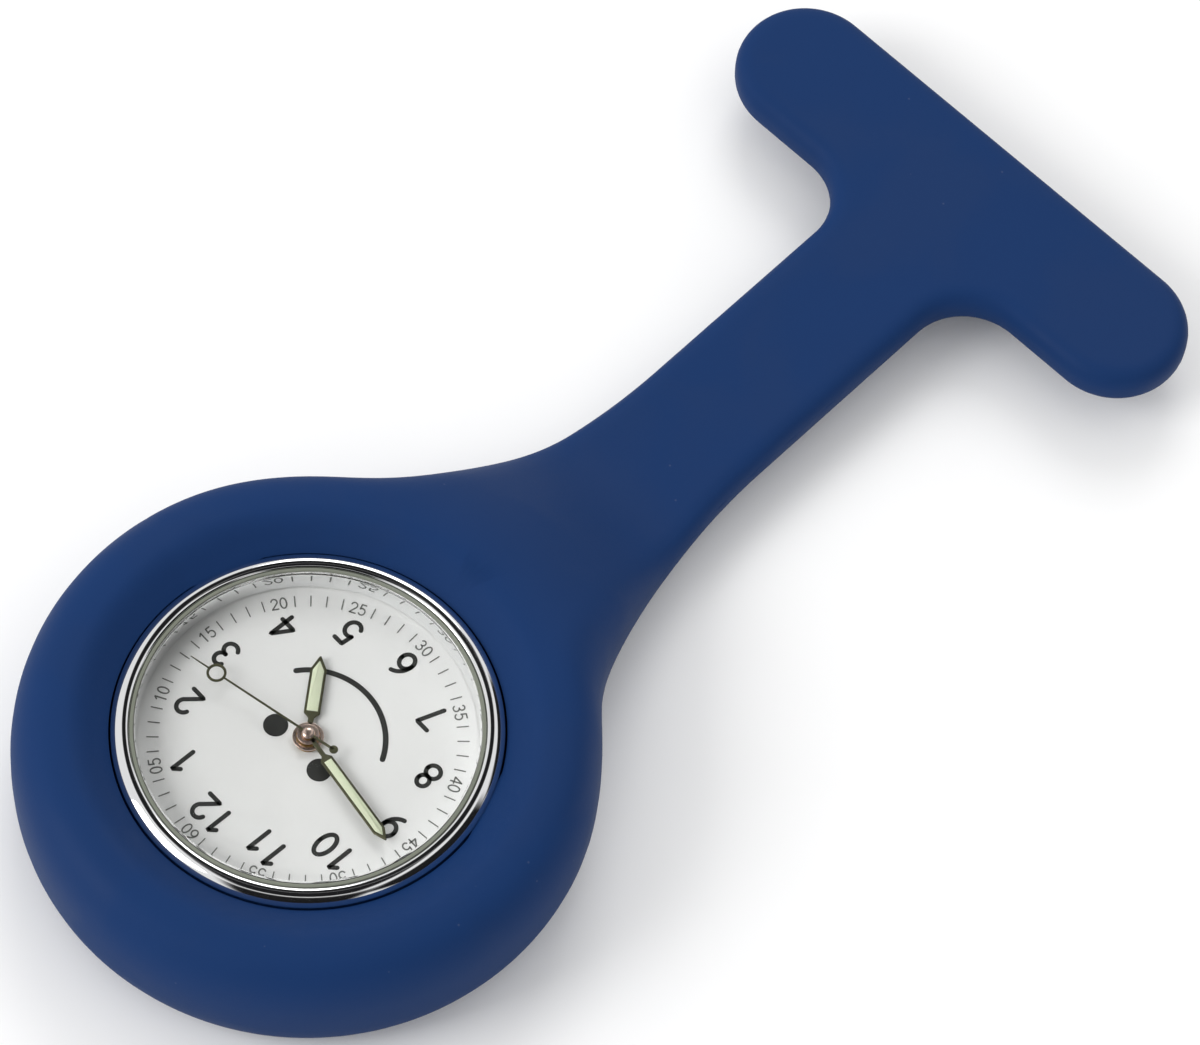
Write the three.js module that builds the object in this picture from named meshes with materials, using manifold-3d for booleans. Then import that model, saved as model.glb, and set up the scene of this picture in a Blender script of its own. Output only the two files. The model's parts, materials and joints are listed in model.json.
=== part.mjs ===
// A silicone fob watch: a blue silicone holder on a brooch pin, with a small quartz watch pressed into it.
//
// Frame, in millimetres: the origin is the centre of the flat outer face of the case back. +Z points out of
// the dial, +Y points along the neck to the cross bar that carries the pin, and 12 o'clock is at -Y, so that
// the wearer reads the dial the right way up. The crown, at 3 o'clock, is at -X.
import * as THREE from "three";
import { mergeVertices } from "three/addons/utils/BufferGeometryUtils.js";
import Module from "manifold-3d";

const wasm = await Module();
wasm.setup();

// ---------------------------------------------------------------- driving dimensions
const DEG = Math.PI / 180;

// Silicone holder
const RING_R = 20; // largest radius of the fat ring round the watch
const RING_TOP = 9.6; // crest of the ring
const BACK_Z = -1; // back face of the silicone
const CREST_R = 16.3; // radius of the crest
const LIP_R = 13.36; // edge of the silicone round the bezel
const LIP_Z = 7.8;
const FOOT_R = 18; // radius from which the neck grows
const NECK_HALF = 5.25;
const NECK_THICK = 3.2;
const NECK_FILLET = 49;
const RAMP_END = 32; // radius where the slope from the ring has come down to the neck
const RAMP_INSET = 1.2; // the slope stands this far inside the neck's outline
const BAR_Y = 65.7; // centre line of the cross bar
const BAR_HALF = 15.1; // from the middle to the centre of each round end
const BAR_R = 5.24;
const BAR_FILLET = 4.55;
const FLEX_Y = 47.5; // where the neck bends
const FLEX_GAP = 0.3;
const FIT = 0.1; // gap between the silicone and the case

// Case
const CASE_R = 15;
const CASE_WALL_TOP = 6.2;
const BACK_R = 13.2;
const BACK_THICK = 0.7;
const BORE_R = 12.35;
const CRYSTAL_R = 11.65;
const CRYSTAL_Z = [7.8, 8.45];
const BEZEL_TOP = 8.5;
const BEZEL_IN = 11.97; // edge of the metal round the crystal's gasket
const WALL_TOP = 7.77; // top of the inner wall, just below the crystal
const REHAUT_R = [11.35, 11.6]; // polished inner wall, at the dial and at the crystal
const DIAL_Z = [5.85, 6.05];

// Movement
const PLATE_R = 10.5;
const PLATE_Z = [3.9, 4.9];
const BRIDGE_Z = [1.3, 1.8];
const HOLDER_Z = [1.1, 5.7];
const PIVOT_R = 0.1; // pivots of the arbors
const JEWEL_R = 0.16; // holes that the pivots turn in
const PILLAR_R = 0.7;

// Facets round a turned piece
const FINE = 36;
const MIDDLE = 28;
const COARSE = 12;

// Hands: clock angle in degrees, length, width and height above the case back
const HOUR = { angle: 142.5, reach: 6.05, half: 0.55, z: 6.35 };
const MINUTE = { angle: 281, reach: 9.3, half: 0.44, z: 6.67 };
const SECOND = { angle: 80.7, reach: 9.75, ring: 7.6, z: 6.93 };
const HAND_THICK = 0.14;

// Going train: centre distances and places
const TRAIN_DISTANCE = 3.6;
const ROTOR_DISTANCE = 2.1;
const MOTION_DISTANCE = 2.88;
const TEETH = {
  rotorPinion: 6, step: 36, stepPinion: 6, seconds: 30, secondsPinion: 6, third: 45, thirdPinion: 6, centre: 48,
  cannon: 8, minute: 24, minutePinion: 6, hour: 24,
};
const MODULE = {
  rotor: moduleOf(ROTOR_DISTANCE, TEETH.rotorPinion, TEETH.step),
  step: moduleOf(TRAIN_DISTANCE, TEETH.stepPinion, TEETH.seconds),
  third: moduleOf(TRAIN_DISTANCE, TEETH.secondsPinion, TEETH.third),
  centre: moduleOf(TRAIN_DISTANCE, TEETH.thirdPinion, TEETH.centre),
  minute: moduleOf(MOTION_DISTANCE, TEETH.cannon, TEETH.minute),
  hour: moduleOf(MOTION_DISTANCE, TEETH.minutePinion, TEETH.hour),
};
const THIRD_AT = polar(TRAIN_DISTANCE, 150);
const STEP_AT = polar(TRAIN_DISTANCE, 60);
const ROTOR_AT = offset(STEP_AT, polar(ROTOR_DISTANCE, 20));
const MINUTE_AT = polar(MOTION_DISTANCE, 180);
const BRIDGE_SCREWS = [[-6.6, -2.2], [5.6, 0.4], [-1.5, -4.3]];
const CLAMP_SCREW = [8, -2.6];
const BATTERY = { at: [3.475, -6.02], r: 3.4, z: [1.2, 3.74] };

// Crown and stem
const STEM_Z = 4.4;
const STEM_R = 0.45;
const CROWN_X = -15.15;
const LEVER = { at: [-8.75, 2.4], arm: 2.03, swing: 12.87 };

// Brooch pin
const PIN_Z = -2.9;
const HINGE_X = 13.9;
const CATCH_X = -12.8;

// ---------------------------------------------------------------- finishes
const FINISHES = {
  silicone: { color: 0x1f3c6c, roughness: 0.62, metalness: 0 },
  chrome: { color: 0xd8dadc, roughness: 0.08, metalness: 1 },
  steel: { color: 0xb9bcc0, roughness: 0.3, metalness: 1 },
  glass: { color: 0xf4f8fa, roughness: 0.02, metalness: 0, transparent: true, opacity: 0.25 },
  dial: { color: 0xe9eae6, roughness: 0.5, metalness: 0 },
  darkHand: { color: 0x4b4d45, roughness: 0.35, metalness: 0.7 },
  lume: { color: 0xdfe6cf, roughness: 0.8, metalness: 0 },
  brass: { color: 0xc9a95c, roughness: 0.3, metalness: 1 },
  copper: { color: 0xa65a34, roughness: 0.4, metalness: 0.9 },
  magnet: { color: 0x3c3d40, roughness: 0.4, metalness: 0.8 },
  gasket: { color: 0x202124, roughness: 0.8, metalness: 0 },
  plastic: { color: 0xe2e2dc, roughness: 0.6, metalness: 0 },
  board: { color: 0x1d5a3c, roughness: 0.5, metalness: 0 },
};

// ---------------------------------------------------------------- geometry helpers
function polar(radius, degrees) {
  return [radius * Math.cos(degrees * DEG), radius * Math.sin(degrees * DEG)];
}

// The module of two wheels that mesh at a centre distance.
function moduleOf(distance, teeth1, teeth2) {
  return (2 * distance) / (teeth1 + teeth2);
}

function offset(a, b) {
  return [a[0] + b[0], a[1] + b[1]];
}

// A closed three.js geometry as a solid that can be joined and cut, with its faces pointing out.
function solid(geometry) {
  const bare = geometry.index ? geometry.toNonIndexed() : geometry;
  const points = new THREE.BufferGeometry().setAttribute("position", bare.getAttribute("position"));
  const merged = mergeVertices(points, 1e-4);
  const p = merged.getAttribute("position").array;
  const faces = [];
  let volume = 0;
  for (let i = 0; i < merged.index.count; i += 3) {
    const [a, b, c] = merged.index.array.slice(i, i + 3);
    if (a === b || b === c || c === a) continue;
    faces.push([a, b, c]);
    const [A, B, C] = [a, b, c].map((k) => new THREE.Vector3().fromArray(p, 3 * k));
    volume += A.dot(B.cross(C));
  }
  const triVerts = new Uint32Array(faces.flatMap((f) => (volume < 0 ? f.reverse() : f)));
  return new wasm.Manifold(new wasm.Mesh({ numProp: 3, vertProperties: p, triVerts }));
}

// A profile of [radius, height] points turned round the Z axis. It starts and ends on the axis, or closes.
function turned(profile, segments = COARSE) {
  const onAxis = profile[0][0] === 0;
  const points = (onAxis ? profile : [...profile, profile[0]]).map(([r, z]) => new THREE.Vector2(r, z));
  return solid(new THREE.LatheGeometry(points, segments).rotateX(Math.PI / 2));
}

function disc(radius, low, high, segments = COARSE) {
  return turned([[0, low], [radius, low], [radius, high], [0, high]], segments);
}

function washer(inner, outer, low, high, segments = COARSE) {
  return turned([[inner, low], [outer, low], [outer, high], [inner, high]], segments);
}

function plate(shape, low, high, segments = 8) {
  const options = { depth: high - low, bevelEnabled: false, curveSegments: segments };
  return solid(new THREE.ExtrudeGeometry(shape, options).translate(0, 0, low));
}

function box(x, y, z) {
  const [w, d, h] = [x, y, z].map(([low, high]) => high - low);
  const centre = [x, y, z].map(([low, high]) => (low + high) / 2);
  return solid(new THREE.BoxGeometry(w, d, h).translate(...centre));
}

function polygon(points) {
  return new THREE.Shape(points.map(([x, y]) => new THREE.Vector2(x, y)));
}

function join(...solids) {
  return solids.reduce((all, next) => all.add(next));
}

function cut(body, ...tools) {
  return tools.reduce((rest, tool) => rest.subtract(tool), body);
}

function at(body, [x, y], z = 0) {
  return body.translate([x, y, z]);
}

// Turned about Z, then laid along -X at the stem's height, so that a height of 0 is at x = 0.
function alongStem(body) {
  return body.rotate([0, -90, 0]).translate([0, 0, STEM_Z]);
}

// Turned about Z, then laid along X on the pin's axis.
function alongPin(body) {
  return body.rotate([0, 90, 0]).translate([0, BAR_Y, PIN_Z]);
}

// A flat piece drawn along +Y, turned to a clock angle.
function toClock(body, angle) {
  return body.rotate([0, 0, 180 - angle]);
}

// ---------------------------------------------------------------- silicone holder
// Half a superellipse: the outside of the ring from its back to its crest.
function ringOutside(steps) {
  const middle = (RING_TOP + BACK_Z) / 2;
  const [half, tall, power] = [RING_R - CREST_R, RING_TOP - middle, 2 / 2.6];
  return Array.from({ length: steps + 1 }, (_, i) => {
    const t = (i / steps - 0.5) * Math.PI;
    const up = Math.sign(Math.sin(t)) * Math.abs(Math.sin(t)) ** power;
    return [CREST_R + half * Math.cos(t) ** power, middle + tall * up];
  });
}

// The crest falls inwards to the lip in half a cosine wave.
function ringInside(steps) {
  return Array.from({ length: steps }, (_, i) => {
    const t = (i + 1) / steps;
    const drop = (1 - Math.cos(Math.PI * t * 0.62)) / (1 - Math.cos(Math.PI * 0.62));
    return [CREST_R + (LIP_R - CREST_R) * t, RING_TOP + (LIP_Z - RING_TOP) * drop];
  });
}

function ringSolid() {
  const pocket = [[LIP_R + 0.05, 7.38], [CASE_R + FIT, CASE_WALL_TOP + FIT], [CASE_R + FIT, 0.7]];
  const backLip = [[14.3, -FIT], [13.6, -FIT], [13.6, BACK_Z]];
  return turned([...ringOutside(9), ...ringInside(4), ...pocket, ...backLip], FINE);
}

// The neck's two sides leave the ring along wide fillets and run on to the height "end". An inset moves both
// sides inwards.
function neckShape(end, inset = 0) {
  const sideX = NECK_HALF + NECK_FILLET;
  const sideY = Math.sqrt((FOOT_R + NECK_FILLET) ** 2 - sideX ** 2);
  const meet = Math.atan2(sideY, sideX);
  const foot = polar(FOOT_R - inset, meet / DEG);
  const shape = new THREE.Shape();
  shape.moveTo(foot[0], foot[1]);
  shape.absarc(sideX, sideY, NECK_FILLET + inset, Math.PI + meet, Math.PI, true);
  shape.lineTo(NECK_HALF - inset, end);
  shape.lineTo(-NECK_HALF + inset, end);
  shape.absarc(-sideX, sideY, NECK_FILLET + inset, 0, -meet, true);
  shape.lineTo(-foot[0], foot[1]);
  return shape;
}

// The silicone comes down from the ring's crest to the neck in a smooth wave.
function ramp(steps) {
  const [top, base] = [BACK_Z + NECK_THICK, BACK_Z + NECK_THICK - 0.2];
  const wave = Array.from({ length: steps + 1 }, (_, i) => {
    const t = 1 - i / steps;
    return [CREST_R + (RAMP_END - CREST_R) * t, RING_TOP - (RING_TOP - top) * t * t * (3 - 2 * t)];
  });
  const slope = turned([[CREST_R, base], [RAMP_END, base], ...wave], FINE);
  return slope.intersect(plate(neckShape(RAMP_END + 1, RAMP_INSET), base, RING_TOP));
}

// The cross bar with its round ends, and the upper neck growing into it along two small fillets.
function barShape(start) {
  const [under, over] = [BAR_Y - BAR_R, BAR_Y + BAR_R];
  const filletX = NECK_HALF + BAR_FILLET;
  const shape = new THREE.Shape();
  shape.moveTo(-NECK_HALF, start);
  shape.lineTo(NECK_HALF, start);
  shape.absarc(filletX, under - BAR_FILLET, BAR_FILLET, Math.PI, Math.PI / 2, true);
  shape.absarc(BAR_HALF, BAR_Y, BAR_R, -Math.PI / 2, Math.PI / 2, false);
  shape.lineTo(-BAR_HALF, over);
  shape.absarc(-BAR_HALF, BAR_Y, BAR_R, Math.PI / 2, 1.5 * Math.PI, false);
  shape.absarc(-filletX, under - BAR_FILLET, BAR_FILLET, Math.PI / 2, 0, true);
  return shape;
}

function siliconeHolder() {
  const top = BACK_Z + NECK_THICK;
  const neck = plate(neckShape(FLEX_Y), BACK_Z, top);
  const round = disc(NECK_THICK / 2, -NECK_HALF, NECK_HALF).rotate([0, 90, 0]);
  const end = round.translate([0, FLEX_Y, BACK_Z + NECK_THICK / 2]);
  const cavity = turned([[0, BACK_Z - 1], [CASE_R + FIT, BACK_Z - 1], [CASE_R + FIT, top + 1], [0, top + 1]], FINE);
  const crownRoom = alongStem(disc(2, CASE_R - 1, 18));
  return cut(join(ringSolid(), cut(neck, cavity), ramp(7), end), crownRoom);
}

// The plate lies in a slot that is wider inside than at its mouth.
function siliconeBar() {
  const bar = plate(barShape(FLEX_Y + NECK_THICK / 2 + FLEX_GAP), BACK_Z, BACK_Z + NECK_THICK);
  const mouth = box([-15.1, 15.1], [BAR_Y - 1.6, BAR_Y + 1.6], [BACK_Z - 1, -0.5]);
  const slot = box([-15.3, 15.3], [BAR_Y - 2.1, BAR_Y + 2.1], [-0.6, 0.1]);
  return cut(bar, mouth, slot);
}

// ---------------------------------------------------------------- brooch pin
function broochPlate() {
  const strip = box([-15, 15], [BAR_Y - 2, BAR_Y + 2], [-0.53, 0.03]);
  const ear = join(
    box([HINGE_X - 0.8, HINGE_X + 0.8], [-0.25, 0.25], [PIN_Z, -0.1]),
    disc(0.8, -0.25, 0.25).rotate([90, 0, 0]).translate([HINGE_X, 0, PIN_Z]),
  );
  const hole = disc(0.33, -3, 3).rotate([90, 0, 0]).translate([HINGE_X, BAR_Y, PIN_Z]);
  return cut(join(strip, ear.translate([0, BAR_Y - 1, 0]), ear.translate([0, BAR_Y + 1, 0])), hole);
}

function hingeRivet() {
  const body = turned([[0, -1.5], [0.55, -1.5], [0.55, -1.29], [0.3, -1.29], [0.3, 1.29],
    [0.55, 1.29], [0.55, 1.5], [0, 1.5]]);
  return body.rotate([90, 0, 0]).translate([HINGE_X, BAR_Y, PIN_Z]);
}

function pinArm() {
  const wire = turned([[0, -14.6], [0.14, -14.2], [0.3, -13], [0.38, 0], [0.38, HINGE_X - 0.5],
    [0, HINGE_X - 0.5]]);
  const eye = disc(0.72, -0.7, 0.7).rotate([90, 0, 0]).translate([HINGE_X, BAR_Y, PIN_Z]);
  const bore = disc(0.38, -2, 2).rotate([90, 0, 0]).translate([HINGE_X, BAR_Y, PIN_Z]);
  return cut(join(alongPin(wire), eye), bore);
}

// A tube sector seen along the pin's axis, from "start" round to "end", in degrees from +Y towards +Z.
function tubeSector(inner, outer, start, end, low, high) {
  const shape = new THREE.Shape();
  shape.absarc(0, 0, outer, start * DEG, end * DEG, false);
  shape.absarc(0, 0, inner, end * DEG, start * DEG, true);
  const piece = plate(shape, low, high);
  return piece.rotate([0, 0, -90]).rotate([0, 90, 0]).rotate([180, 0, 0]).translate([0, BAR_Y, PIN_Z]);
}

function catchShell() {
  const shell = tubeSector(0.98, 1.3, -35, 215, CATCH_X - 0.7, CATCH_X + 0.7);
  const foot = box([CATCH_X - 0.7, CATCH_X + 0.7], [BAR_Y - 0.6, BAR_Y + 0.6], [PIN_Z + 1.1, -0.55]);
  return join(shell, foot);
}

// The drum turns inside the shell; its tab stands beside the shell's mouth.
function catchDrum() {
  const drum = tubeSector(0.5, 0.9, -58, 238, CATCH_X - 0.9, CATCH_X + 0.9);
  const collar = tubeSector(0.5, 1.3, -58, 238, CATCH_X + 0.85, CATCH_X + 1.3);
  const tab = box([CATCH_X + 0.85, CATCH_X + 1.3], [BAR_Y + 0.7, BAR_Y + 1.58], [PIN_Z - 0.35, PIN_Z + 0.05]);
  return join(drum, collar, tab);
}

// ---------------------------------------------------------------- watch case
function caseBody() {
  const outside = [[BACK_R + 0.1, 0], [14.2, 0], [CASE_R, 0.8], [CASE_R, CASE_WALL_TOP], [13.3, 7.3], [13.2, 7.95]];
  const bezel = [[12.95, 8.25], [12.6, 8.45], [12.3, BEZEL_TOP], [BEZEL_IN, 8.44], [BEZEL_IN, WALL_TOP]];
  const inside = [[REHAUT_R[1], WALL_TOP], [REHAUT_R[0], 6.1], [BORE_R, 6.1], [BORE_R, 1.7],
    [BACK_R + 0.1, 1.7]];
  const stemHole = alongStem(disc(1.05, 11, 16));
  return cut(turned([...outside, ...bezel, ...inside], FINE), stemHole);
}

function caseBack() {
  const lid = turned([[0, 0], [12.9, 0], [BACK_R, 0.25], [BACK_R, BACK_THICK], [0, BACK_THICK]], MIDDLE);
  const wall = washer(11.9, BORE_R - 0.05, BACK_THICK - 0.1, 2, MIDDLE);
  const notch = box([-1.5, 1.5], [-13.5, -12.6], [-0.2, 0.35]);
  return cut(join(lid, wall), notch);
}

function crown() {
  const teeth = Array.from({ length: 48 }, (_, i) => polar(i % 2 ? 1.6 : 1.48, i * 7.5));
  const body = plate(polygon(teeth), -CROWN_X, -CROWN_X + 1.75);
  return alongStem(cut(body, disc(1.15, -CROWN_X - 1, -CROWN_X + 1)));
}

function crownTube() {
  return alongStem(turned([[0.55, 12.9], [1, 12.9], [1, 15.9], [0.55, 15.9]]));
}

// Round where the case and the crown hold it, with a groove for the lever and a square inner end.
function stem() {
  const round = turned([[0, 6.9], [STEM_R, 6.9], [STEM_R, 8], [0.2, 8], [0.2, 8.6], [STEM_R, 8.6],
    [STEM_R, -CROWN_X + 0.95], [0, -CROWN_X + 0.95]]);
  return alongStem(join(round, box([-0.2, 0.2], [-0.2, 0.2], [5, 7])));
}

// ---------------------------------------------------------------- dial and hands
function dial() {
  return washer(0.95, 12.2, ...DIAL_Z, FINE);
}

// A hand that widens from a thin stem to a blade, with a window for the luminous paste.
function bladeHand({ reach, half, z }, boss, hole, stemHalf, bladeStart, point) {
  const blade = polygon([[-stemHalf, 0], [stemHalf, 0], [stemHalf, bladeStart - 0.3], [half, bladeStart],
    [half, reach - point], [0.04, reach], [-0.04, reach], [-half, reach - point], [-half, bladeStart],
    [-stemHalf, bladeStart - 0.3]]);
  const flat = join(plate(blade, z, z + HAND_THICK), disc(boss, z, z + HAND_THICK));
  const window = plate(bladeWindow(reach, half, bladeStart, point, 0.13), z - 1, z + 1);
  return cut(flat, window, disc(hole, z - 1, z + 1));
}

function bladeWindow(reach, half, bladeStart, point, rim) {
  const h = half - rim;
  return polygon([[-h, bladeStart + rim], [h, bladeStart + rim], [h, reach - point - rim / 2],
    [0, reach - 2.4 * rim], [-h, reach - point - rim / 2]]);
}

function lume({ reach, half, z }, bladeStart, point) {
  return plate(bladeWindow(reach, half, bladeStart, point, 0.16), z + 0.02, z + HAND_THICK - 0.02);
}

function hourHand() {
  return toClock(bladeHand(HOUR, 1.05, 0.79, 0.2, 1.75, 1), HOUR.angle);
}

function minuteHand() {
  return toClock(bladeHand(MINUTE, 0.75, 0.45, 0.16, 2.2, 0.8), MINUTE.angle);
}

function secondHand() {
  const { reach, ring, z, angle } = SECOND;
  const needle = (half, from, to) => box([-half, half], [from, to], [z, z + 0.1]);
  const eye = at(washer(0.5, 0.68, z, z + 0.1), [0, ring]);
  const tail = at(disc(0.3, z, z + 0.1), [0, -2.1]);
  const cap = turned([[0, z], [0.42, z], [0.42, z + 0.1], [0.3, z + 0.22], [0, z + 0.26]]);
  const hand = join(needle(0.07, -2, ring - 0.55), needle(0.06, ring + 0.55, reach), eye, tail, cap);
  return toClock(hand, angle);
}

// ---------------------------------------------------------------- wheels
// Straight-sided teeth: widths are shares of the pitch, heights are shares of the module. A wheel's teeth
// meet in a point at the root, and a pinion's stand apart.
const WHEEL_TOOTH = { tip: 0.1, root: 0.5, add: 0.7, ded: 1.3 };
const PINION_TOOTH = { tip: 0.07, root: 0.17, add: 0.7, ded: 1.1 };

function gear(teeth, module, low, high, phase) {
  const wheel = teeth > 20;
  const { tip, root, add, ded } = wheel ? WHEEL_TOOTH : PINION_TOOTH;
  const pitch = (2 * Math.PI) / teeth;
  const [tipR, rootR] = [module * (teeth / 2 + add), module * (teeth / 2 - ded)];
  const corners = [[tipR, -tip], [tipR, tip], [rootR, root]];
  if (!wheel) corners.unshift([rootR, -root]);
  const outline = Array.from({ length: teeth }, (_, k) =>
    corners.map(([r, share]) => polar(r, (phase + pitch * (k + share)) / DEG)));
  return plate(polygon(outline.flat()), low, high);
}

// The phase of a gear of "teeth2" teeth that meshes with one of "teeth1" teeth in direction "degrees".
function meshed(phase1, teeth1, degrees, teeth2) {
  const [pitch1, pitch2] = [(2 * Math.PI) / teeth1, (2 * Math.PI) / teeth2];
  const turns = (degrees * DEG - phase1) / pitch1;
  return degrees * DEG + Math.PI + pitch2 * (0.5 + turns - Math.floor(turns));
}

// An arbor with a pivot at each end, from the bridge to the main plate.
function arbor(radius) {
  const [low, high] = [BRIDGE_Z[1] + 0.06, PLATE_Z[0] - 0.06];
  return turned([[0, BRIDGE_Z[0]], [PIVOT_R, BRIDGE_Z[0]], [PIVOT_R, low], [radius, low], [radius, high],
    [PIVOT_R, high], [PIVOT_R, high + 0.6], [0, high + 0.6]], 12);
}

const STEP_PINION_PHASE = meshed(0, TEETH.seconds, 60, TEETH.stepPinion);
const ROTOR_PINION_PHASE = meshed(0, TEETH.step, 20, TEETH.rotorPinion);
const THIRD_WHEEL_PHASE = meshed(0, TEETH.secondsPinion, 150, TEETH.third);
const CENTRE_WHEEL_PHASE = meshed(0, TEETH.thirdPinion, 150 + 180, TEETH.centre);
const MINUTE_WHEEL_PHASE = meshed(0, TEETH.cannon, 180, TEETH.minute);
const HOUR_WHEEL_PHASE = meshed(0, TEETH.minutePinion, 0, TEETH.hour);

function rotorMagnet() {
  return at(washer(0.3, 0.95, 2.9, 3.3), ROTOR_AT);
}

function rotorArbor() {
  const pinion = gear(TEETH.rotorPinion, MODULE.rotor, 2.25, 2.6, ROTOR_PINION_PHASE);
  return at(join(arbor(0.16), pinion, disc(0.27, 2.8, 3.4)), ROTOR_AT);
}

function stepWheel() {
  const wheel = gear(TEETH.step, MODULE.rotor, 2.35, 2.5, 0);
  const pinion = gear(TEETH.stepPinion, MODULE.step, 1.92, 2.36, STEP_PINION_PHASE);
  return at(join(arbor(0.2), wheel, pinion), STEP_AT);
}

// The seconds arbor runs the whole height, through the hollow centre wheel, up to the second hand.
function secondsWheel() {
  const staff = turned([[0, BRIDGE_Z[0]], [PIVOT_R, BRIDGE_Z[0]], [PIVOT_R, 1.86], [0.24, 1.86], [0.24, 2.98],
    [0.12, 2.98], [0.12, SECOND.z - 0.02], [0, SECOND.z - 0.02]]);
  const wheel = gear(TEETH.seconds, MODULE.step, 2, 2.18, 0);
  return join(staff, wheel, gear(TEETH.secondsPinion, MODULE.third, 2.62, 2.95, 0));
}

function thirdWheel() {
  const wheel = gear(TEETH.third, MODULE.third, 2.7, 2.86, THIRD_WHEEL_PHASE);
  return at(join(arbor(0.18), wheel, gear(TEETH.thirdPinion, MODULE.centre, 3.06, 3.42, 0)), THIRD_AT);
}

function centreWheel() {
  const tube = washer(0.2, 0.42, 3.04, MINUTE.z + 0.16);
  const wheel = gear(TEETH.centre, MODULE.centre, 3.16, 3.32, CENTRE_WHEEL_PHASE);
  return cut(join(tube, wheel, gear(TEETH.cannon, MODULE.minute, 5, 5.36, 0)), disc(0.2, 2, 8));
}

function minuteWheel() {
  const wheel = gear(TEETH.minute, MODULE.minute, 5.02, 5.2, MINUTE_WHEEL_PHASE);
  const pinion = gear(TEETH.minutePinion, MODULE.hour, 5.19, 5.76, 0);
  return at(cut(join(wheel, pinion), disc(0.31, 4, 7)), MINUTE_AT);
}

function hourWheel() {
  const pipe = washer(0.48, 0.75, 5.45, HOUR.z + 0.2);
  return cut(join(pipe, gear(TEETH.hour, MODULE.hour, 5.45, 5.6, HOUR_WHEEL_PHASE)), disc(0.48, 5, 8));
}

// ---------------------------------------------------------------- plates, motor and power
function pillar(place, low) {
  return at(disc(PILLAR_R, low, PLATE_Z[0] + 0.1), place);
}

function mainPlate() {
  const pillars = BRIDGE_SCREWS.map((place) => pillar(place, BRIDGE_Z[1] + 0.02));
  const stud = at(disc(0.25, 4.8, 5.78), MINUTE_AT);
  const body = join(disc(PLATE_R, ...PLATE_Z, MIDDLE), ...pillars, pillar(CLAMP_SCREW, 1.64), stud);
  const pivots = [THIRD_AT, STEP_AT, ROTOR_AT].map((place) => at(disc(JEWEL_R, 3, 6, 12), place));
  const threads = [...BRIDGE_SCREWS, CLAMP_SCREW].map((place) => at(disc(0.34, 0, 3.4, 12), place));
  const stemWay = box([-11, -6.8], [-0.55, 0.55], [3, 6]);
  const clutchWay = box([-6.85, -5.2], [-0.9, 0.9], [3, 6]);
  const endWay = box([-5.3, -4.8], [-0.4, 0.4], [3, 6]);
  const leverPost = join(...[-0.45, 0, 0.45].map((x) => at(disc(0.3, 3, 6, 12), [LEVER.at[0] + x, 0.62])));
  const leverPivot = at(disc(0.2, 4, 6, 12), LEVER.at);
  return cut(body, disc(0.55, 3, 6), ...pivots, ...threads, stemWay, clutchWay, endWay, leverPost, leverPivot);
}

function trainBridge() {
  const outline = polygon([[-7.5, -3], [-7.5, -1.2], [-4.8, 3.3], [2, 5.2], [5, 5.2], [6.6, 0.9], [6.3, -0.5],
    [0.3, -3], [-0.8, -5.2], [-2.3, -5.2]]);
  const pivots = [[0, 0], THIRD_AT, STEP_AT, ROTOR_AT].map((place) => at(disc(JEWEL_R, 0, 3, 12), place));
  const holes = BRIDGE_SCREWS.map((place) => at(disc(0.36, 0, 3), place));
  return cut(plate(outline, ...BRIDGE_Z), ...pivots, ...holes);
}

function screw(place, headHigh) {
  const body = turned([[0, headHigh - 0.26], [0.55, headHigh - 0.26], [0.6, headHigh - 0.2], [0.6, headHigh],
    [0.3, headHigh], [0.3, 3.2], [0, 3.2]]);
  return at(cut(body, box([-1, 1], [-0.08, 0.08], [0, headHigh - 0.14])), place);
}

function stator() {
  const outline = polygon([[4.1, 8.6], [5.3, 8.6], [5.3, 2.4], [2.9, 2.4], [2.3, 3], [2.2, 5.4], [-5.3, 5.4],
    [-5.3, 8.6], [-4.1, 8.6], [-4.1, 6.5], [4.1, 6.5]]);
  return cut(plate(outline, 2.95, 3.25), at(disc(1.05, 2, 4, 24), ROTOR_AT));
}

function coilCore() {
  return box([-5.2, 5.2], [7.5, 8.5], [2.6, 2.92]);
}

function coil() {
  const outline = polygon([[-0.95, -0.6], [-0.6, -0.95], [0.6, -0.95], [0.95, -0.6], [0.95, 0.6], [0.6, 0.95],
    [-0.6, 0.95], [-0.95, 0.6]]);
  const winding = plate(outline, -3.6, 3.6).rotate([0, 90, 0]).translate([0, 8, 2.76]);
  return cut(winding, box([-5, 5], [7.45, 8.55], [2.55, 2.97]));
}

function circuitBoard() {
  const outline = polygon([[7, -3.4], [8.9, -3.4], [9.6, -1], [9.6, 3.4], [7.2, 7], [4.6, 8.9], [3.9, 7.6],
    [6.3, 5.4], [7.2, 1]]);
  const chip = at(disc(0.9, 1.1, 1.4), [8.3, 2]);
  return cut(join(plate(outline, 1.32, 1.6), chip), at(disc(0.36, 0, 3), CLAMP_SCREW));
}

function quartzCan() {
  const can = turned([[0, -1.2], [0.75, -1.2], [0.75, 3.6], [0.6, 3.75], [0, 3.75]]);
  return can.rotate([-90, 0, 0]).translate([8.3, 0, 2.6]);
}

function battery() {
  const { r, z, at: place } = BATTERY;
  return at(turned([[0, z[0]], [r - 0.15, z[0]], [r, z[0] + 0.15], [r, z[1] - 0.45], [r - 0.35, z[1] - 0.35],
    [r - 0.35, z[1]], [0, z[1]]], MIDDLE), place);
}

function batteryClamp() {
  const outline = polygon([[7.4, -1.7], [8.9, -1.9], [9, -3.3], [3.3, -7.2], [2.4, -6.1]]);
  return cut(plate(outline, 1.02, 1.16), at(disc(0.36, 0, 3), CLAMP_SCREW));
}

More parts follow.
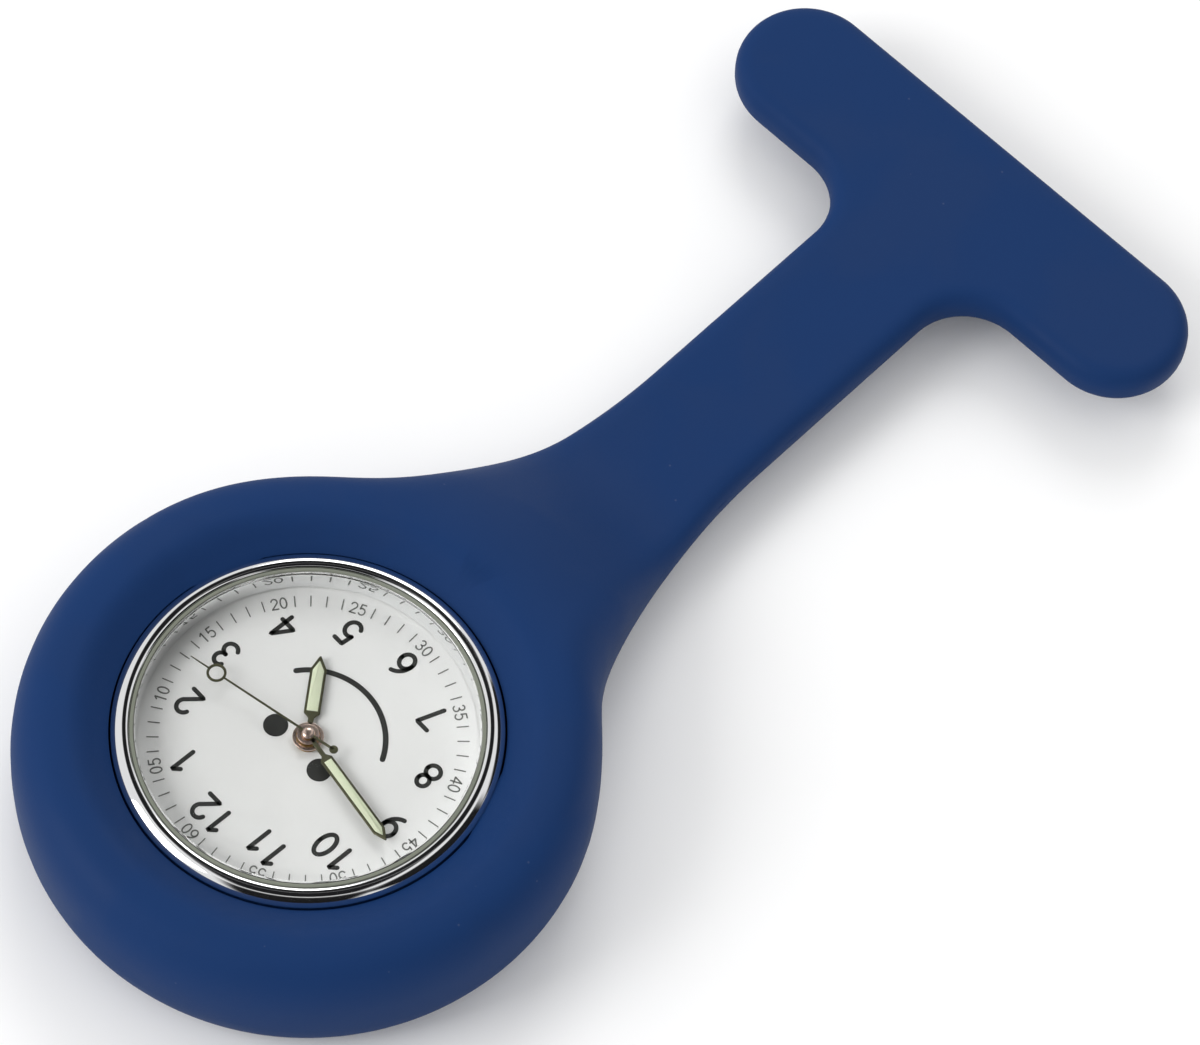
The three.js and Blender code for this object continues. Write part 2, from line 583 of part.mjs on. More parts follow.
function batteryContact() {
  const leaf = polygon([[2.9, -6.3], [3.8, -6.6], [7, -1.8], [6.6, -1.4]]);
  return join(plate(leaf, 3.77, 3.86), at(disc(0.2, 1.62, 3.86, 12), [6.7, -1.7]));
}

function movementHolder() {
  const ring = washer(PLATE_R + 0.05, BORE_R - 0.05, 2.05, HOLDER_Z[1], MIDDLE);
  const step = washer(PLATE_R + 0.05, 11.85, HOLDER_Z[0], 2.1, MIDDLE);
  return cut(join(ring, step), box([-13, -10], [-0.9, 0.9], [3.3, 7]));
}

// ---------------------------------------------------------------- setting works
function clutchWheel() {
  const wheel = gear(12, 0.11, 5.4, 6.6, 0);
  return alongStem(cut(wheel, box([-0.25, 0.25], [-0.25, 0.25], [5, 7])));
}

function settingLever() {
  const rest = [LEVER.at[0] + LEVER.arm * Math.sin(LEVER.swing * DEG),
    LEVER.at[1] - LEVER.arm * Math.cos(LEVER.swing * DEG)];
  const along = Math.atan2(rest[1] - LEVER.at[1], rest[0] - LEVER.at[0]) / DEG;
  const bar = at(box([0, LEVER.arm], [-0.3, 0.3], [4.97, 5.12]).rotate([0, 0, along]), LEVER.at);
  const post = at(disc(0.15, 4.15, 5.1, 12), rest);
  const pivot = at(join(disc(0.5, 4.97, 5.12), disc(0.12, 4, 5.05, 12)), LEVER.at);
  return join(bar, post, pivot, at(disc(0.32, 4.97, 5.12), rest));
}

// ---------------------------------------------------------------- assembly
const PIECES = {
  silicone: { silicone_case_holder: siliconeHolder, silicone_top_bar: siliconeBar },
  steel: {
    brooch_plate: broochPlate,
    brooch_hinge_rivet: hingeRivet,
    brooch_pin_arm: pinArm,
    catch_shell: catchShell,
    catch_drum: catchDrum,
    case_back: caseBack,
    winding_stem: stem,
    crown_tube: crownTube,
    battery: battery,
    battery_clamp: batteryClamp,
    bridge_screw_1: () => screw(BRIDGE_SCREWS[0], 1.28),
    bridge_screw_2: () => screw(BRIDGE_SCREWS[1], 1.28),
    bridge_screw_3: () => screw(BRIDGE_SCREWS[2], 1.28),
    clamp_screw: () => screw(CLAMP_SCREW, 1),
    quartz_can: quartzCan,
    stator: stator,
    coil_core: coilCore,
    setting_lever: settingLever,
    clutch_wheel: clutchWheel,
    rotor_arbor: rotorArbor,
    dial_washer: () => washer(0.85, 1.7, 5.64, 5.8),
  },
  chrome: { case_body: caseBody, crown: crown },
  glass: { crystal: () => turned([[0, CRYSTAL_Z[0]], [CRYSTAL_R, CRYSTAL_Z[0]], [CRYSTAL_R, 8.35],
    [CRYSTAL_R - 0.1, CRYSTAL_Z[1]], [0, CRYSTAL_Z[1]]], FINE) },
  gasket: {
    crystal_gasket: () => washer(CRYSTAL_R + 0.03, BEZEL_IN - 0.03, CRYSTAL_Z[0], 8.36, FINE),
    back_gasket: () => washer(BORE_R + 0.03, BACK_R, 0.74, 1.66, MIDDLE),
    crown_gasket: () => alongStem(washer(0.49, 1, 12.45, 12.85)),
  },
  dial: { dial: dial },
  darkHand: { hour_hand: hourHand, minute_hand: minuteHand, second_hand: secondHand },
  lume: {
    hour_hand_lume: () => toClock(lume(HOUR, 1.75, 1), HOUR.angle),
    minute_hand_lume: () => toClock(lume(MINUTE, 2.2, 0.8), MINUTE.angle),
  },
  brass: {
    main_plate: mainPlate,
    train_bridge: trainBridge,
    step_wheel: stepWheel,
    seconds_wheel: secondsWheel,
    third_wheel: thirdWheel,
    centre_wheel: centreWheel,
    minute_wheel: minuteWheel,
    hour_wheel: hourWheel,
    battery_contact: batteryContact,
  },
  copper: { coil: coil },
  magnet: { rotor_magnet: rotorMagnet },
  plastic: { movement_holder: movementHolder },
  board: { circuit_board: circuitBoard },
};

function meshOf(name, body, finish) {
  const { vertProperties, triVerts } = body.getMesh();
  const indexed = new THREE.BufferGeometry()
    .setAttribute("position", new THREE.BufferAttribute(vertProperties, 3))
    .setIndex(new THREE.BufferAttribute(triVerts, 1));
  const geometry = indexed.toNonIndexed();
  geometry.computeVertexNormals();
  const mesh = new THREE.Mesh(geometry, new THREE.MeshStandardMaterial(FINISHES[finish]));
  mesh.name = name;
  return mesh;
}

const fobWatch = new THREE.Group();
for (const [finish, pieces] of Object.entries(PIECES)) {
  for (const [name, make] of Object.entries(pieces)) {
    fobWatch.add(meshOf(name, make(), finish));
  }
}

export default fobWatch;
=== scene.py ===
# %% [markdown]
# # A silicone fob watch
#
# A small quartz watch is pressed into a fat ring of navy silicone. A flat neck runs from the ring to a cross
# bar, and the bar carries a brooch pin. The watch hangs upside down, so its wearer reads it the right way up.
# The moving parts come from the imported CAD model. This lesson adds what the eye sees: one soft silicone skin,
# a polished case under glass, a printed dial, three hands and the steel hardware on the back.
#
# Lengths are in millimetres while a shape is worked out, and become metres when it goes into a mesh.

# %% Tools and the frame
import json

import bmesh
import bpy
import numpy as np
from mathutils import Matrix

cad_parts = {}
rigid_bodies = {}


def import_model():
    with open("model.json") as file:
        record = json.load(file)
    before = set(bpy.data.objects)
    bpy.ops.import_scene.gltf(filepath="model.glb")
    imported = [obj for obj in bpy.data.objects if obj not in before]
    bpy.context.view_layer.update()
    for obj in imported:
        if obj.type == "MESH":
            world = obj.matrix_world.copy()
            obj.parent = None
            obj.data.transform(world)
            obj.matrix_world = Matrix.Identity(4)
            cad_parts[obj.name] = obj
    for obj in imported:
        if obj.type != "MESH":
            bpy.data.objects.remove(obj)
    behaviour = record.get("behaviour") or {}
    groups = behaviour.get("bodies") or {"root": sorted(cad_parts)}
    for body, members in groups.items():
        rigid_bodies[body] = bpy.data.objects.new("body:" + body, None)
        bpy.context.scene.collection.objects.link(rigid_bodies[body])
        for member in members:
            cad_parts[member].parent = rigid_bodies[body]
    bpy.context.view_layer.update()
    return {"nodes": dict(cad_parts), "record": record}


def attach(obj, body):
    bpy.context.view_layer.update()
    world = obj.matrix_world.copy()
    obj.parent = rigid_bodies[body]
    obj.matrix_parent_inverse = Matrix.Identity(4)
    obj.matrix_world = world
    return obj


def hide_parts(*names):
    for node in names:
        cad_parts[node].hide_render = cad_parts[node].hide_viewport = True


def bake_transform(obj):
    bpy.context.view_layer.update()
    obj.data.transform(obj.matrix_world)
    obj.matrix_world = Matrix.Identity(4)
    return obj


MM = 0.001
TURN = 2 * np.pi

for leftover in list(bpy.data.objects):
    bpy.data.objects.remove(leftover)
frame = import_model()

# %% [markdown]
# ## Surfaces from arrays
#
# Every new piece is one or more sheets. A sheet is a grid of points, worked out as one array from two
# parameters, with a four-sided face between each four neighbours. A sheet that comes back to its start
# wraps round. Sheets that share an edge are welded, so that a piece is closed like the real one. Blender's
# own modelling tools could make these shapes by hand. Arrays were chosen because every size is then a number
# that can be read and changed.


# %% Sheets, lathes and bars
def sheet(points, wrap_rows=False, wrap_columns=False):
    """Faces over a grid of points of shape (rows, columns, 3). Each corner of a face is the grid point one
    row or one column on from the last."""
    rows, columns = points.shape[:2]
    index = np.arange(rows * columns).reshape(rows, columns)
    if wrap_rows:
        index = np.vstack([index, index[:1]])
    if wrap_columns:
        index = np.hstack([index, index[:, :1]])
    corners = index[:-1, :-1], index[1:, :-1], index[1:, 1:], index[:-1, 1:]
    return points.reshape(-1, 3), np.stack(corners, -1).reshape(-1, 4)


def lathe(profile, steps=144, centre=(0, 0)):
    """A profile of (radius, height) carried round the Z axis: x = r cos a, y = r sin a, z = height."""
    profile = np.asarray(profile, float)
    a = np.linspace(0, TURN, steps, endpoint=False)[:, None]
    r, z = profile[:, 0], profile[:, 1]
    x, y = r * np.cos(a) + centre[0], r * np.sin(a) + centre[1]
    return sheet(np.stack([x, y, np.broadcast_to(z, x.shape)], -1), wrap_rows=True)


def softened(corners, radius, steps=4):
    """A profile whose inner corners are rounded: each corner becomes a quadratic curve from a point
    "radius" before it to a point "radius" after it, less where a side is short."""
    p = np.asarray(corners, float)
    before, here, after = p[:-2], p[1:-1], p[2:]
    to_before, to_after = before - here, after - here
    length_before = np.linalg.norm(to_before, axis=1, keepdims=True)
    length_after = np.linalg.norm(to_after, axis=1, keepdims=True)
    start = here + to_before / length_before * np.minimum(radius, 0.45 * length_before)
    end = here + to_after / length_after * np.minimum(radius, 0.45 * length_after)
    t = np.linspace(0, 1, steps + 1)[None, :, None]
    curve = (1 - t) ** 2 * start[:, None] + 2 * t * (1 - t) * here[:, None] + t**2 * end[:, None]
    return np.vstack([p[:1], curve.reshape(-1, 2), p[-1:]])


def disc(radius, low, high):
    """The profile of a flat disc, from the axis out and back to the axis."""
    return [[0, low], [radius, low], [radius, high], [0, high]]


def washer(inner, outer, low, high):
    """The closed profile of a flat ring."""
    return [[inner, low], [outer, low], [outer, high], [inner, high], [inner, low]]


def slab(outline, levels):
    """A closed outline carried up through levels of (inset, height): each level is the outline moved
    inwards along its normals. One flat face closes the first level and one the last."""
    outline = np.asarray(outline, float)
    ahead, behind = np.roll(outline, -1, 0) - outline, outline - np.roll(outline, 1, 0)
    ahead /= np.linalg.norm(ahead, axis=1, keepdims=True)
    behind /= np.linalg.norm(behind, axis=1, keepdims=True)
    inward = np.stack([-(ahead + behind)[:, 1], (ahead + behind)[:, 0]], -1)
    inward /= np.maximum(1 + (ahead * behind).sum(1), 0.4)[:, None]
    rings = [np.c_[outline + inset * inward, np.full(len(outline), z)] for inset, z in levels]
    walls = sheet(np.stack(rings, 1), wrap_rows=True)
    caps = [len(rings) * np.arange(len(outline)), len(rings) * np.arange(len(outline)) + len(rings) - 1]
    return walls[0], [*walls[1].tolist(), caps[0].tolist(), caps[1].tolist()]


def placed(part, matrix):
    """A sheet's points carried by a 4 x 4 matrix in millimetres."""
    matrix = np.array(matrix, float)
    return part[0] @ matrix[:3, :3].T + matrix[:3, 3], part[1]


# %% From sheets to a piece of the object
WELD = 2e-4  # points nearer to each other than this become one


def build(name, parts, material, body, replaces=(), crease=35):
    """Joins sheets into one mesh in metres, welds them, turns the faces outwards and seats the piece on its
    CAD body. Edges sharper than "crease" degrees stay sharp in the shading."""
    points, faces, first = [], [], 0
    for part_points, part_faces in parts:
        points.append(part_points)
        faces += [[int(i) + first for i in face] for face in part_faces]
        first += len(part_points)
    mesh = bpy.data.meshes.new(name)
    mesh.from_pydata(np.vstack(points) * MM, [], faces)
    work = bmesh.new()
    work.from_mesh(mesh)
    bmesh.ops.remove_doubles(work, verts=work.verts, dist=WELD * MM)
    bmesh.ops.dissolve_degenerate(work, edges=work.edges, dist=1e-8)
    bmesh.ops.recalc_face_normals(work, faces=work.faces)
    open_edges = sum(not edge.is_manifold for edge in work.edges)
    work.to_mesh(mesh)
    work.free()
    mesh.shade_smooth()
    mesh.set_sharp_from_angle(angle=np.radians(crease))
    mesh.materials.append(material)
    piece = bpy.data.objects.new(name, mesh)
    bpy.context.scene.collection.objects.link(piece)
    if body:
        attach(piece, body)
    if replaces:
        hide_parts(*replaces)
    print(f"{name}: {len(mesh.polygons)} faces, {open_edges} open edges")
    return piece


# %% [markdown]
# ## Shared effects
#
# Real surfaces are never quite even. Four small effects are used again and again, so each is a node group:
# fine grain, drawn lines from brushing, drifting clouds of tone, and dust. Each reads the object's own
# coordinates, so a pattern stays on its piece when the piece moves. The nodes could be repeated in every
# material. A group is built once, and a change to it reaches every finish.


# %% Node group helpers
class Graph:
    """A node tree with short calls for adding and joining nodes."""

    def __init__(self, tree):
        self.tree = tree

    def add(self, kind, settings=None, **inputs):
        """A new node with its settings, and a value or a link for each input that is named."""
        node = self.tree.nodes.new("ShaderNode" + kind)
        for key, value in (settings or {}).items():
            setattr(node, key, value)
        for key, value in inputs.items():
            self.feed(node, key.replace("_", " "), value)
        return node

    def feed(self, node, socket, value):
        """Links a socket to an input, or writes a plain value into it."""
        target = node.inputs[socket] if isinstance(socket, (str, int)) else socket
        if isinstance(value, bpy.types.NodeSocket):
            self.tree.links.new(value, target)
        else:
            target.default_value = value

    def math(self, operation, a, b=0.0):
        """One operation on a and b."""
        node = self.add("Math", {"operation": operation})
        self.feed(node, 0, a)
        self.feed(node, 1, b)
        return node.outputs[0]

    def remap(self, value, low, high, to_low=0.0, to_high=1.0):
        """A value between low and high as one between to_low and to_high, eased at both ends."""
        node = self.add("MapRange", {"interpolation_type": "SMOOTHSTEP"})
        for socket, given in enumerate((value, low, high, to_low, to_high)):
            self.feed(node, socket, given)
        return node.outputs[0]

    def mix(self, share, a, b):
        """Colour a where the share is 0, colour b where it is 1, and a blend between."""
        node = self.add("Mix", {"data_type": "RGBA"})
        self.feed(node, node.inputs[0], share)
        self.feed(node, node.inputs[6], a)
        self.feed(node, node.inputs[7], b)
        return node.outputs[2]


def effect(name, inputs, outputs, wire):
    """A shader node group: "inputs" are (name, default), "outputs" are names, and "wire" builds the inside
    and returns one socket for each output."""
    tree = bpy.data.node_groups.new(name, "ShaderNodeTree")
    tree.interface.new_socket(name="Vector", in_out="INPUT", socket_type="NodeSocketVector")
    for label, default in inputs:
        made = tree.interface.new_socket(name=label, in_out="INPUT", socket_type="NodeSocketFloat")
        made.default_value = default
    for label in outputs:
        tree.interface.new_socket(name=label, in_out="OUTPUT", socket_type="NodeSocketFloat")
    graph = Graph(tree)
    entry, leave = tree.nodes.new("NodeGroupInput"), tree.nodes.new("NodeGroupOutput")
    for label, socket in zip(outputs, wire(graph, entry.outputs)):
        graph.feed(leave, label, socket)
    return tree


# %% Grain, drawn lines, clouds and dust
def wire_grain(g, given):
    """Noise in a few octaves: small bumps, the same in every direction."""
    fine = g.add("TexNoise", Vector=given["Vector"], Scale=given["Scale"], Detail=3.0, Roughness=0.6)
    return [fine.outputs["Fac"]]


def wire_lines(g, given):
    """Noise on coordinates scaled far more across than along, so that its spots become lines."""
    stretch = g.add("Mapping", Vector=given["Vector"])
    size = g.add("CombineXYZ", X=given["Across"], Y=given["Along"], Z=given["Across"])
    g.feed(stretch, "Scale", size.outputs[0])
    drawn = g.add("TexNoise", Vector=stretch.outputs[0], Scale=1.0, Detail=4.0, Roughness=0.7)
    return [drawn.outputs["Fac"]]


def wire_clouds(g, given):
    """Slow noise, whose middle values are spread over 0 to 1."""
    drift = g.add("TexNoise", Vector=given["Vector"], Scale=given["Scale"], Detail=2.0, Distortion=0.6)
    return [g.remap(drift.outputs["Fac"], 0.35, 0.65)]


def wire_dust(g, given):
    """Specks at the middles of Voronoi cells, in the few cells whose random value is over "Sparseness"."""
    cells = g.add("TexVoronoi", Vector=given["Vector"], Scale=given["Scale"])
    speck = g.remap(cells.outputs["Distance"], 0.05, 0.09, 1.0, 0.0)
    chosen = g.math("GREATER_THAN", g.add("SeparateColor", Color=cells.outputs["Color"]).outputs[0],
                    given["Sparseness"])
    return [g.math("MULTIPLY", speck, chosen)]


GRAIN = effect("Fine grain", [("Scale", 9000.0)], ["Height"], wire_grain)
LINES = effect("Drawn lines", [("Across", 9000.0), ("Along", 150.0)], ["Height"], wire_lines)
CLOUDS = effect("Clouds of tone", [("Scale", 90.0)], ["Mask"], wire_clouds)
DUST = effect("Dust", [("Scale", 900.0), ("Sparseness", 0.93)], ["Mask"], wire_dust)
print("effects:", [tree.name for tree in (GRAIN, LINES, CLOUDS, DUST)])


# %% A finish made from the shared effects
DUST_COLOR = (0.55, 0.56, 0.6, 1.0)


def linear(red, green, blue):
    """A screen colour of 0 to 255 as the linear light that a shader needs."""
    share = np.array([red, green, blue]) / 255
    light = np.where(share <= 0.04045, share / 12.92, ((share + 0.055) / 1.055) ** 2.4)
    return (*light.tolist(), 1.0)


def finish(name, color, roughness, metallic=0.0, tone=0.06, grain=(GRAIN, 9000.0), bump=0.1,
           rough_range=0.08, dust=0.0, **plain):
    """One Principled shader. Clouds and grain together lighten the colour by up to four times "tone" and
    roughen it by up to "rough_range". The grain also gives a bump "bump" hundredths of a millimetre deep, and
    "dust" is how strongly pale specks show."""
    material = bpy.data.materials.new(name)
    material.use_nodes = True
    g = Graph(material.node_tree)
    shader = material.node_tree.nodes["Principled BSDF"]
    where = g.add("TexCoord").outputs["Object"]

    def group(tree, **inputs):
        node = g.add("Group", {"node_tree": tree}, Vector=where)
        for key, value in inputs.items():
            g.feed(node, key, value)
        return node.outputs[0]

    clouds = group(CLOUDS)
    texture = group(grain[0], **({"Scale": grain[1]} if grain[0] is GRAIN else {"Across": grain[1]}))
    light = tuple(min(1.0, c * (1 + 4 * tone) + tone * 0.02) for c in color[:3]) + (1.0,)
    shade = g.mix(g.math("MULTIPLY", g.math("ADD", clouds, texture), 0.5), color, light)
    if dust:
        shade = g.mix(g.math("MULTIPLY", group(DUST), dust), shade, DUST_COLOR)
    g.feed(shader, "Base Color", shade)
    g.feed(shader, "Roughness", g.remap(g.math("ADD", clouds, texture), 0.4, 1.4, roughness,
                                        roughness + rough_range))
    height = g.add("Bump", Height=texture, Strength=0.5, Distance=bump * 1e-5)
    g.feed(shader, "Normal", height.outputs[0])
    for key, value in {"Metallic": metallic, **plain}.items():
        g.feed(shader, key.replace("_", " "), value)
    return material


# %% [markdown]
# ## Finishes
#
# The silicone is matte, with the fine grain of a sandblasted mould. The case is polished chrome over steel,
# so it mostly shows what is round it. The dial is off-white lacquer with dark grey print. Hands are dark
# olive metal on warm polished bosses, with pale luminous paste. Inside are brass wheels, brushed steel and a
# green circuit board. Plain colours would do from afar. Close up, small changes of tone and gloss make a
# surface look real, so every finish comes from one function that adds them.

# %% Finishes by the record's slot
SILICONE = finish("navy silicone", linear(7, 46, 95), 0.6, tone=0.02, bump=2.0, rough_range=0.1, dust=0.05,
                  grain=(GRAIN, 7000.0), Specular_IOR_Level=0.18)
CHROME = finish("polished chrome", (0.88, 0.885, 0.89, 1), 0.03, metallic=1.0, tone=0.01, bump=0.02,
                rough_range=0.04)
STEEL = finish("brushed steel", (0.56, 0.57, 0.58, 1), 0.26, metallic=1.0, bump=0.6, rough_range=0.14,
               grain=(LINES, 9000.0))
PIN_STEEL = finish("drawn steel wire", (0.62, 0.62, 0.63, 1), 0.16, metallic=1.0, bump=0.3, rough_range=0.1,
                   grain=(LINES, 12000.0))
BRASS = finish("brushed brass", (0.68, 0.49, 0.2, 1), 0.24, metallic=1.0, bump=0.5, grain=(LINES, 9000.0))
COPPER = finish("enamelled copper", (0.5, 0.2, 0.09, 1), 0.3, metallic=0.9, bump=3.0,
                grain=(LINES, 16000.0))
MAGNET = finish("sintered magnet", (0.05, 0.05, 0.055, 1), 0.4, metallic=0.8, bump=2.0)
GASKET = finish("dark seal", (0.02, 0.02, 0.022, 1), 0.5, bump=1.0)
SEAL = finish("olive grey seal", linear(112, 116, 104), 0.35, bump=0.5)
PLASTIC = finish("moulded plastic", (0.74, 0.74, 0.7, 1), 0.45, bump=1.5)
BOARD = finish("circuit board", (0.02, 0.13, 0.06, 1), 0.35, bump=1.5)
DIAL_PAINT = finish("dial lacquer", linear(228, 229, 227), 0.4, tone=0.012, bump=0.5, rough_range=0.12,
                    grain=(GRAIN, 16000.0))
INK = finish("dark print", linear(44, 45, 43), 0.5, bump=0.3, Specular_IOR_Level=0.2)
PALE_INK = finish("grey print", linear(104, 106, 102), 0.5, bump=0.3, Specular_IOR_Level=0.2)
HAND_METAL = finish("dark hand metal", linear(78, 78, 58), 0.3, metallic=0.5, bump=0.4,
                    grain=(LINES, 9000.0), Specular_IOR_Level=0.3)
HUB_METAL = finish("polished hub", (0.66, 0.52, 0.45, 1), 0.18, metallic=1.0, bump=0.1)
LUME = finish("luminous paste", linear(212, 220, 190), 0.75, tone=0.02, bump=4.0, grain=(GRAIN, 20000.0))
SLOT_FINISH = {"silicone": SILICONE, "steel": STEEL, "chrome": CHROME, "gasket": GASKET, "dial": DIAL_PAINT,
               "dark_hand": HAND_METAL, "lume": LUME, "brass": BRASS, "copper": COPPER, "magnet": MAGNET,
               "plastic": PLASTIC, "board": BOARD}
print("finishes:", len(SLOT_FINISH))


# %% Glass
def clear_glass():
    """Glass that lets light pass straight to the dial: shadow rays see it as transparent."""
    material = finish("watch glass", (1, 1, 1, 1), 0.0, tone=0.0, bump=0.0, rough_range=0.004,
                      Transmission_Weight=1.0, IOR=1.5)
    g = Graph(material.node_tree)
    shader = material.node_tree.nodes["Principled BSDF"]
    both = g.add("MixShader")
    g.feed(both, 0, g.add("LightPath").outputs["Is Shadow Ray"])
    g.feed(both, 1, shader.outputs[0])
    g.feed(both, 2, g.add("BsdfTransparent").outputs[0])
    g.feed(material.node_tree.nodes["Material Output"], "Surface", both.outputs[0])
    return material


GLASS = clear_glass()
SLOT_FINISH["crystal"] = GLASS

# %% Every CAD node gets the finish of its slot
SLOT_OF = {row["node"]: row["material_slot"] for row in frame["record"]["subparts"]}
for node, piece in frame["nodes"].items():
    piece.data.materials.clear()
    piece.data.materials.append(SLOT_FINISH[SLOT_OF[node]])
print("dressed:", len(SLOT_OF), "nodes")

# %% [markdown]
# ## The silicone skin
#
# The holder is moulded in one piece, so it is one skin here too. Looked at from above, lines run from its
# outline inwards: on the ring they end at the round opening and on the neck at its centre line. On the bar
# they end at its middle, and on its back at the slot for the brooch plate. Every line has the same number of
# points, so the whole skin is one grid. Heights come after: a point's height follows from its distance to
# the outline, which rounds the edges, and from how far it lies towards the neck, which brings the ring's
# height down to the neck's. A sculpted block could look alike, but its edge would be hard to keep even.

# %% The skin's sizes
# The lip is the edge of the round opening. The neck's fillets touch a circle of FOOT_R. BAR_HALF is where the
# bar's round ends have their middles, and the slot for the brooch plate is in the back of the bar.
RING_R, CREST_R, LIP_R, LIP_Z, RING_TOP = 20.0, 16.3, 13.36, 7.8, 9.6
BACK_Z, BACK_OPENING_R = -1.0, 13.6
NECK_HALF, NECK_TOP, NECK_FILLET, FOOT_R = 5.25, 2.2, 49.0, 18.0
BAR_Y, BAR_HALF, BAR_R, BAR_FILLET = 65.7, 15.1, 5.24, 4.55
SLOT_HALF, SLOT_END, SLOT_FLOOR_Z = 1.6, 13.6, -0.3

# The pocket holds the case. Its profile goes from the lip down to the back.
POCKET = [[LIP_R + 0.05, 7.38], [15.1, 6.3], [15.1, 0.7], [14.3, -0.1], [BACK_OPENING_R, -0.1]]

# The skin sinks from ring to neck, and reaches the neck's height SINK_END from the ring's centre. Up to
# SINK_EARLY degrees off the neck's line it starts on the crest, and from SINK_LATE degrees on the outline.
SINK_END, SINK_EARLY, SINK_LATE = 32.0, 15.0, 60.0
LIP_WAVE = 0.62  # share of half a cosine wave that the ring's top follows from crest to lip
RING_EDGE_Z, NECK_EDGE_Z = 4.3, 0.6  # height of the outline itself
RING_EDGE_WIDTH, NECK_EDGE_WIDTH = RING_R - CREST_R, 1.6  # how far the rounded edge reaches inwards
EDGE_POWER = 2.6


def smooth(t):
    """Three t squared minus two t cubed, with t held between 0 and 1."""
    t = np.clip(t, 0, 1)
    return t * t * (3 - 2 * t)


def arc(centre, radius, start, end, count):
    """Points at centre + radius (cos a, sin a), with a in degrees from start to end."""
    a = np.radians(np.linspace(start, end, count))
    return np.c_[centre[0] + radius * np.cos(a), centre[1] + radius * np.sin(a)]


def after(start, end, count):
    """Even steps from start to end, with the start itself left out."""
    return np.linspace(start, end, count + 1)[1:]


def run_along(line):
    """The length from a line's first point to each of its points."""
    return np.r_[0, np.cumsum(np.linalg.norm(np.diff(line, axis=0), axis=1))]


def resample(line, shares):
    """Points at shares 0 to 1 of a line's length."""
    run = run_along(line)
    return np.stack([np.interp(np.asarray(shares) * run[-1], run, line[:, k]) for k in (0, 1)], 1)


# %% The right half of the outline
SIDE_POINTS = 1600
RING_PART, NECK_PART = slice(0, 600), slice(800, None)  # points that surely lie on the ring, and past it
MELT_REACH = 10.0  # distance from the corner between ring and fillet over which the line is melted
MELT_SPREAD, MELT_WINDOW = 44.0, 150  # spread and half window of the weighted average, in points


def ring_and_neck():
    """Ring circle, then the wide fillet, then the neck's straight side: a dense line of points whose one
    corner is melted by a weighted average over about 6 mm."""
    centre = np.array([NECK_HALF + NECK_FILLET, 0.0])
    centre[1] = np.sqrt((FOOT_R + NECK_FILLET) ** 2 - centre[0] ** 2)
    far = np.hypot(*centre)
    bearing = np.degrees(np.arctan2(centre[1], centre[0]))
    apart = np.degrees(np.arccos((RING_R**2 + far**2 - NECK_FILLET**2) / (2 * RING_R * far)))
    meet = np.array([np.cos(np.radians(bearing + apart)), np.sin(np.radians(bearing + apart))]) * RING_R
    start = np.degrees(np.arctan2(meet[1] - centre[1], meet[0] - centre[0])) % 360
    neck_y = after(centre[1], BAR_Y - BAR_R - BAR_FILLET, 200)
    line = np.vstack([arc((0, 0), RING_R, -90, bearing + apart, 600),
                      arc(centre, NECK_FILLET, start, 180, 400)[1:],
                      np.c_[np.full(len(neck_y), NECK_HALF), neck_y]])
    line = resample(line, np.linspace(0, 1, SIDE_POINTS))
    near = np.exp(-((np.linalg.norm(line - meet, axis=1) / MELT_REACH) ** 4))[:, None]
    reach = np.arange(-MELT_WINDOW, MELT_WINDOW + 1)
    weight = np.exp(-0.5 * (reach / MELT_SPREAD) ** 2)
    padded = np.pad(line, ((MELT_WINDOW, MELT_WINDOW), (0, 0)), mode="edge")
    mean = np.stack([np.convolve(padded[:, k], weight / weight.sum(), "valid") for k in (0, 1)], 1)
    return line + near * (mean - line)


SIDE = ring_and_neck()
FOOT_START = 30.0  # degrees round the ring where the lines begin to lean towards the neck
NECK_START_Y = 28.0
side_run = run_along(SIDE)
side_run /= side_run[-1]
share_foot = np.interp(np.radians(FOOT_START), np.arctan2(SIDE[:, 1], SIDE[:, 0])[RING_PART],
                       side_run[RING_PART])
share_neck = np.interp(NECK_START_Y, SIDE[NECK_PART, 1], side_run[NECK_PART])


# %% Lines from the outline to the core
PLAIN_LINES, FOOT_LINES, NECK_LINES = 84, 60, 42  # round the ring, on the neck's foot, along the neck
CORNER_LINES, FLANK_LINES, END_LINES = 16, 8, 47  # each half of the bar's corner, its side, its round end


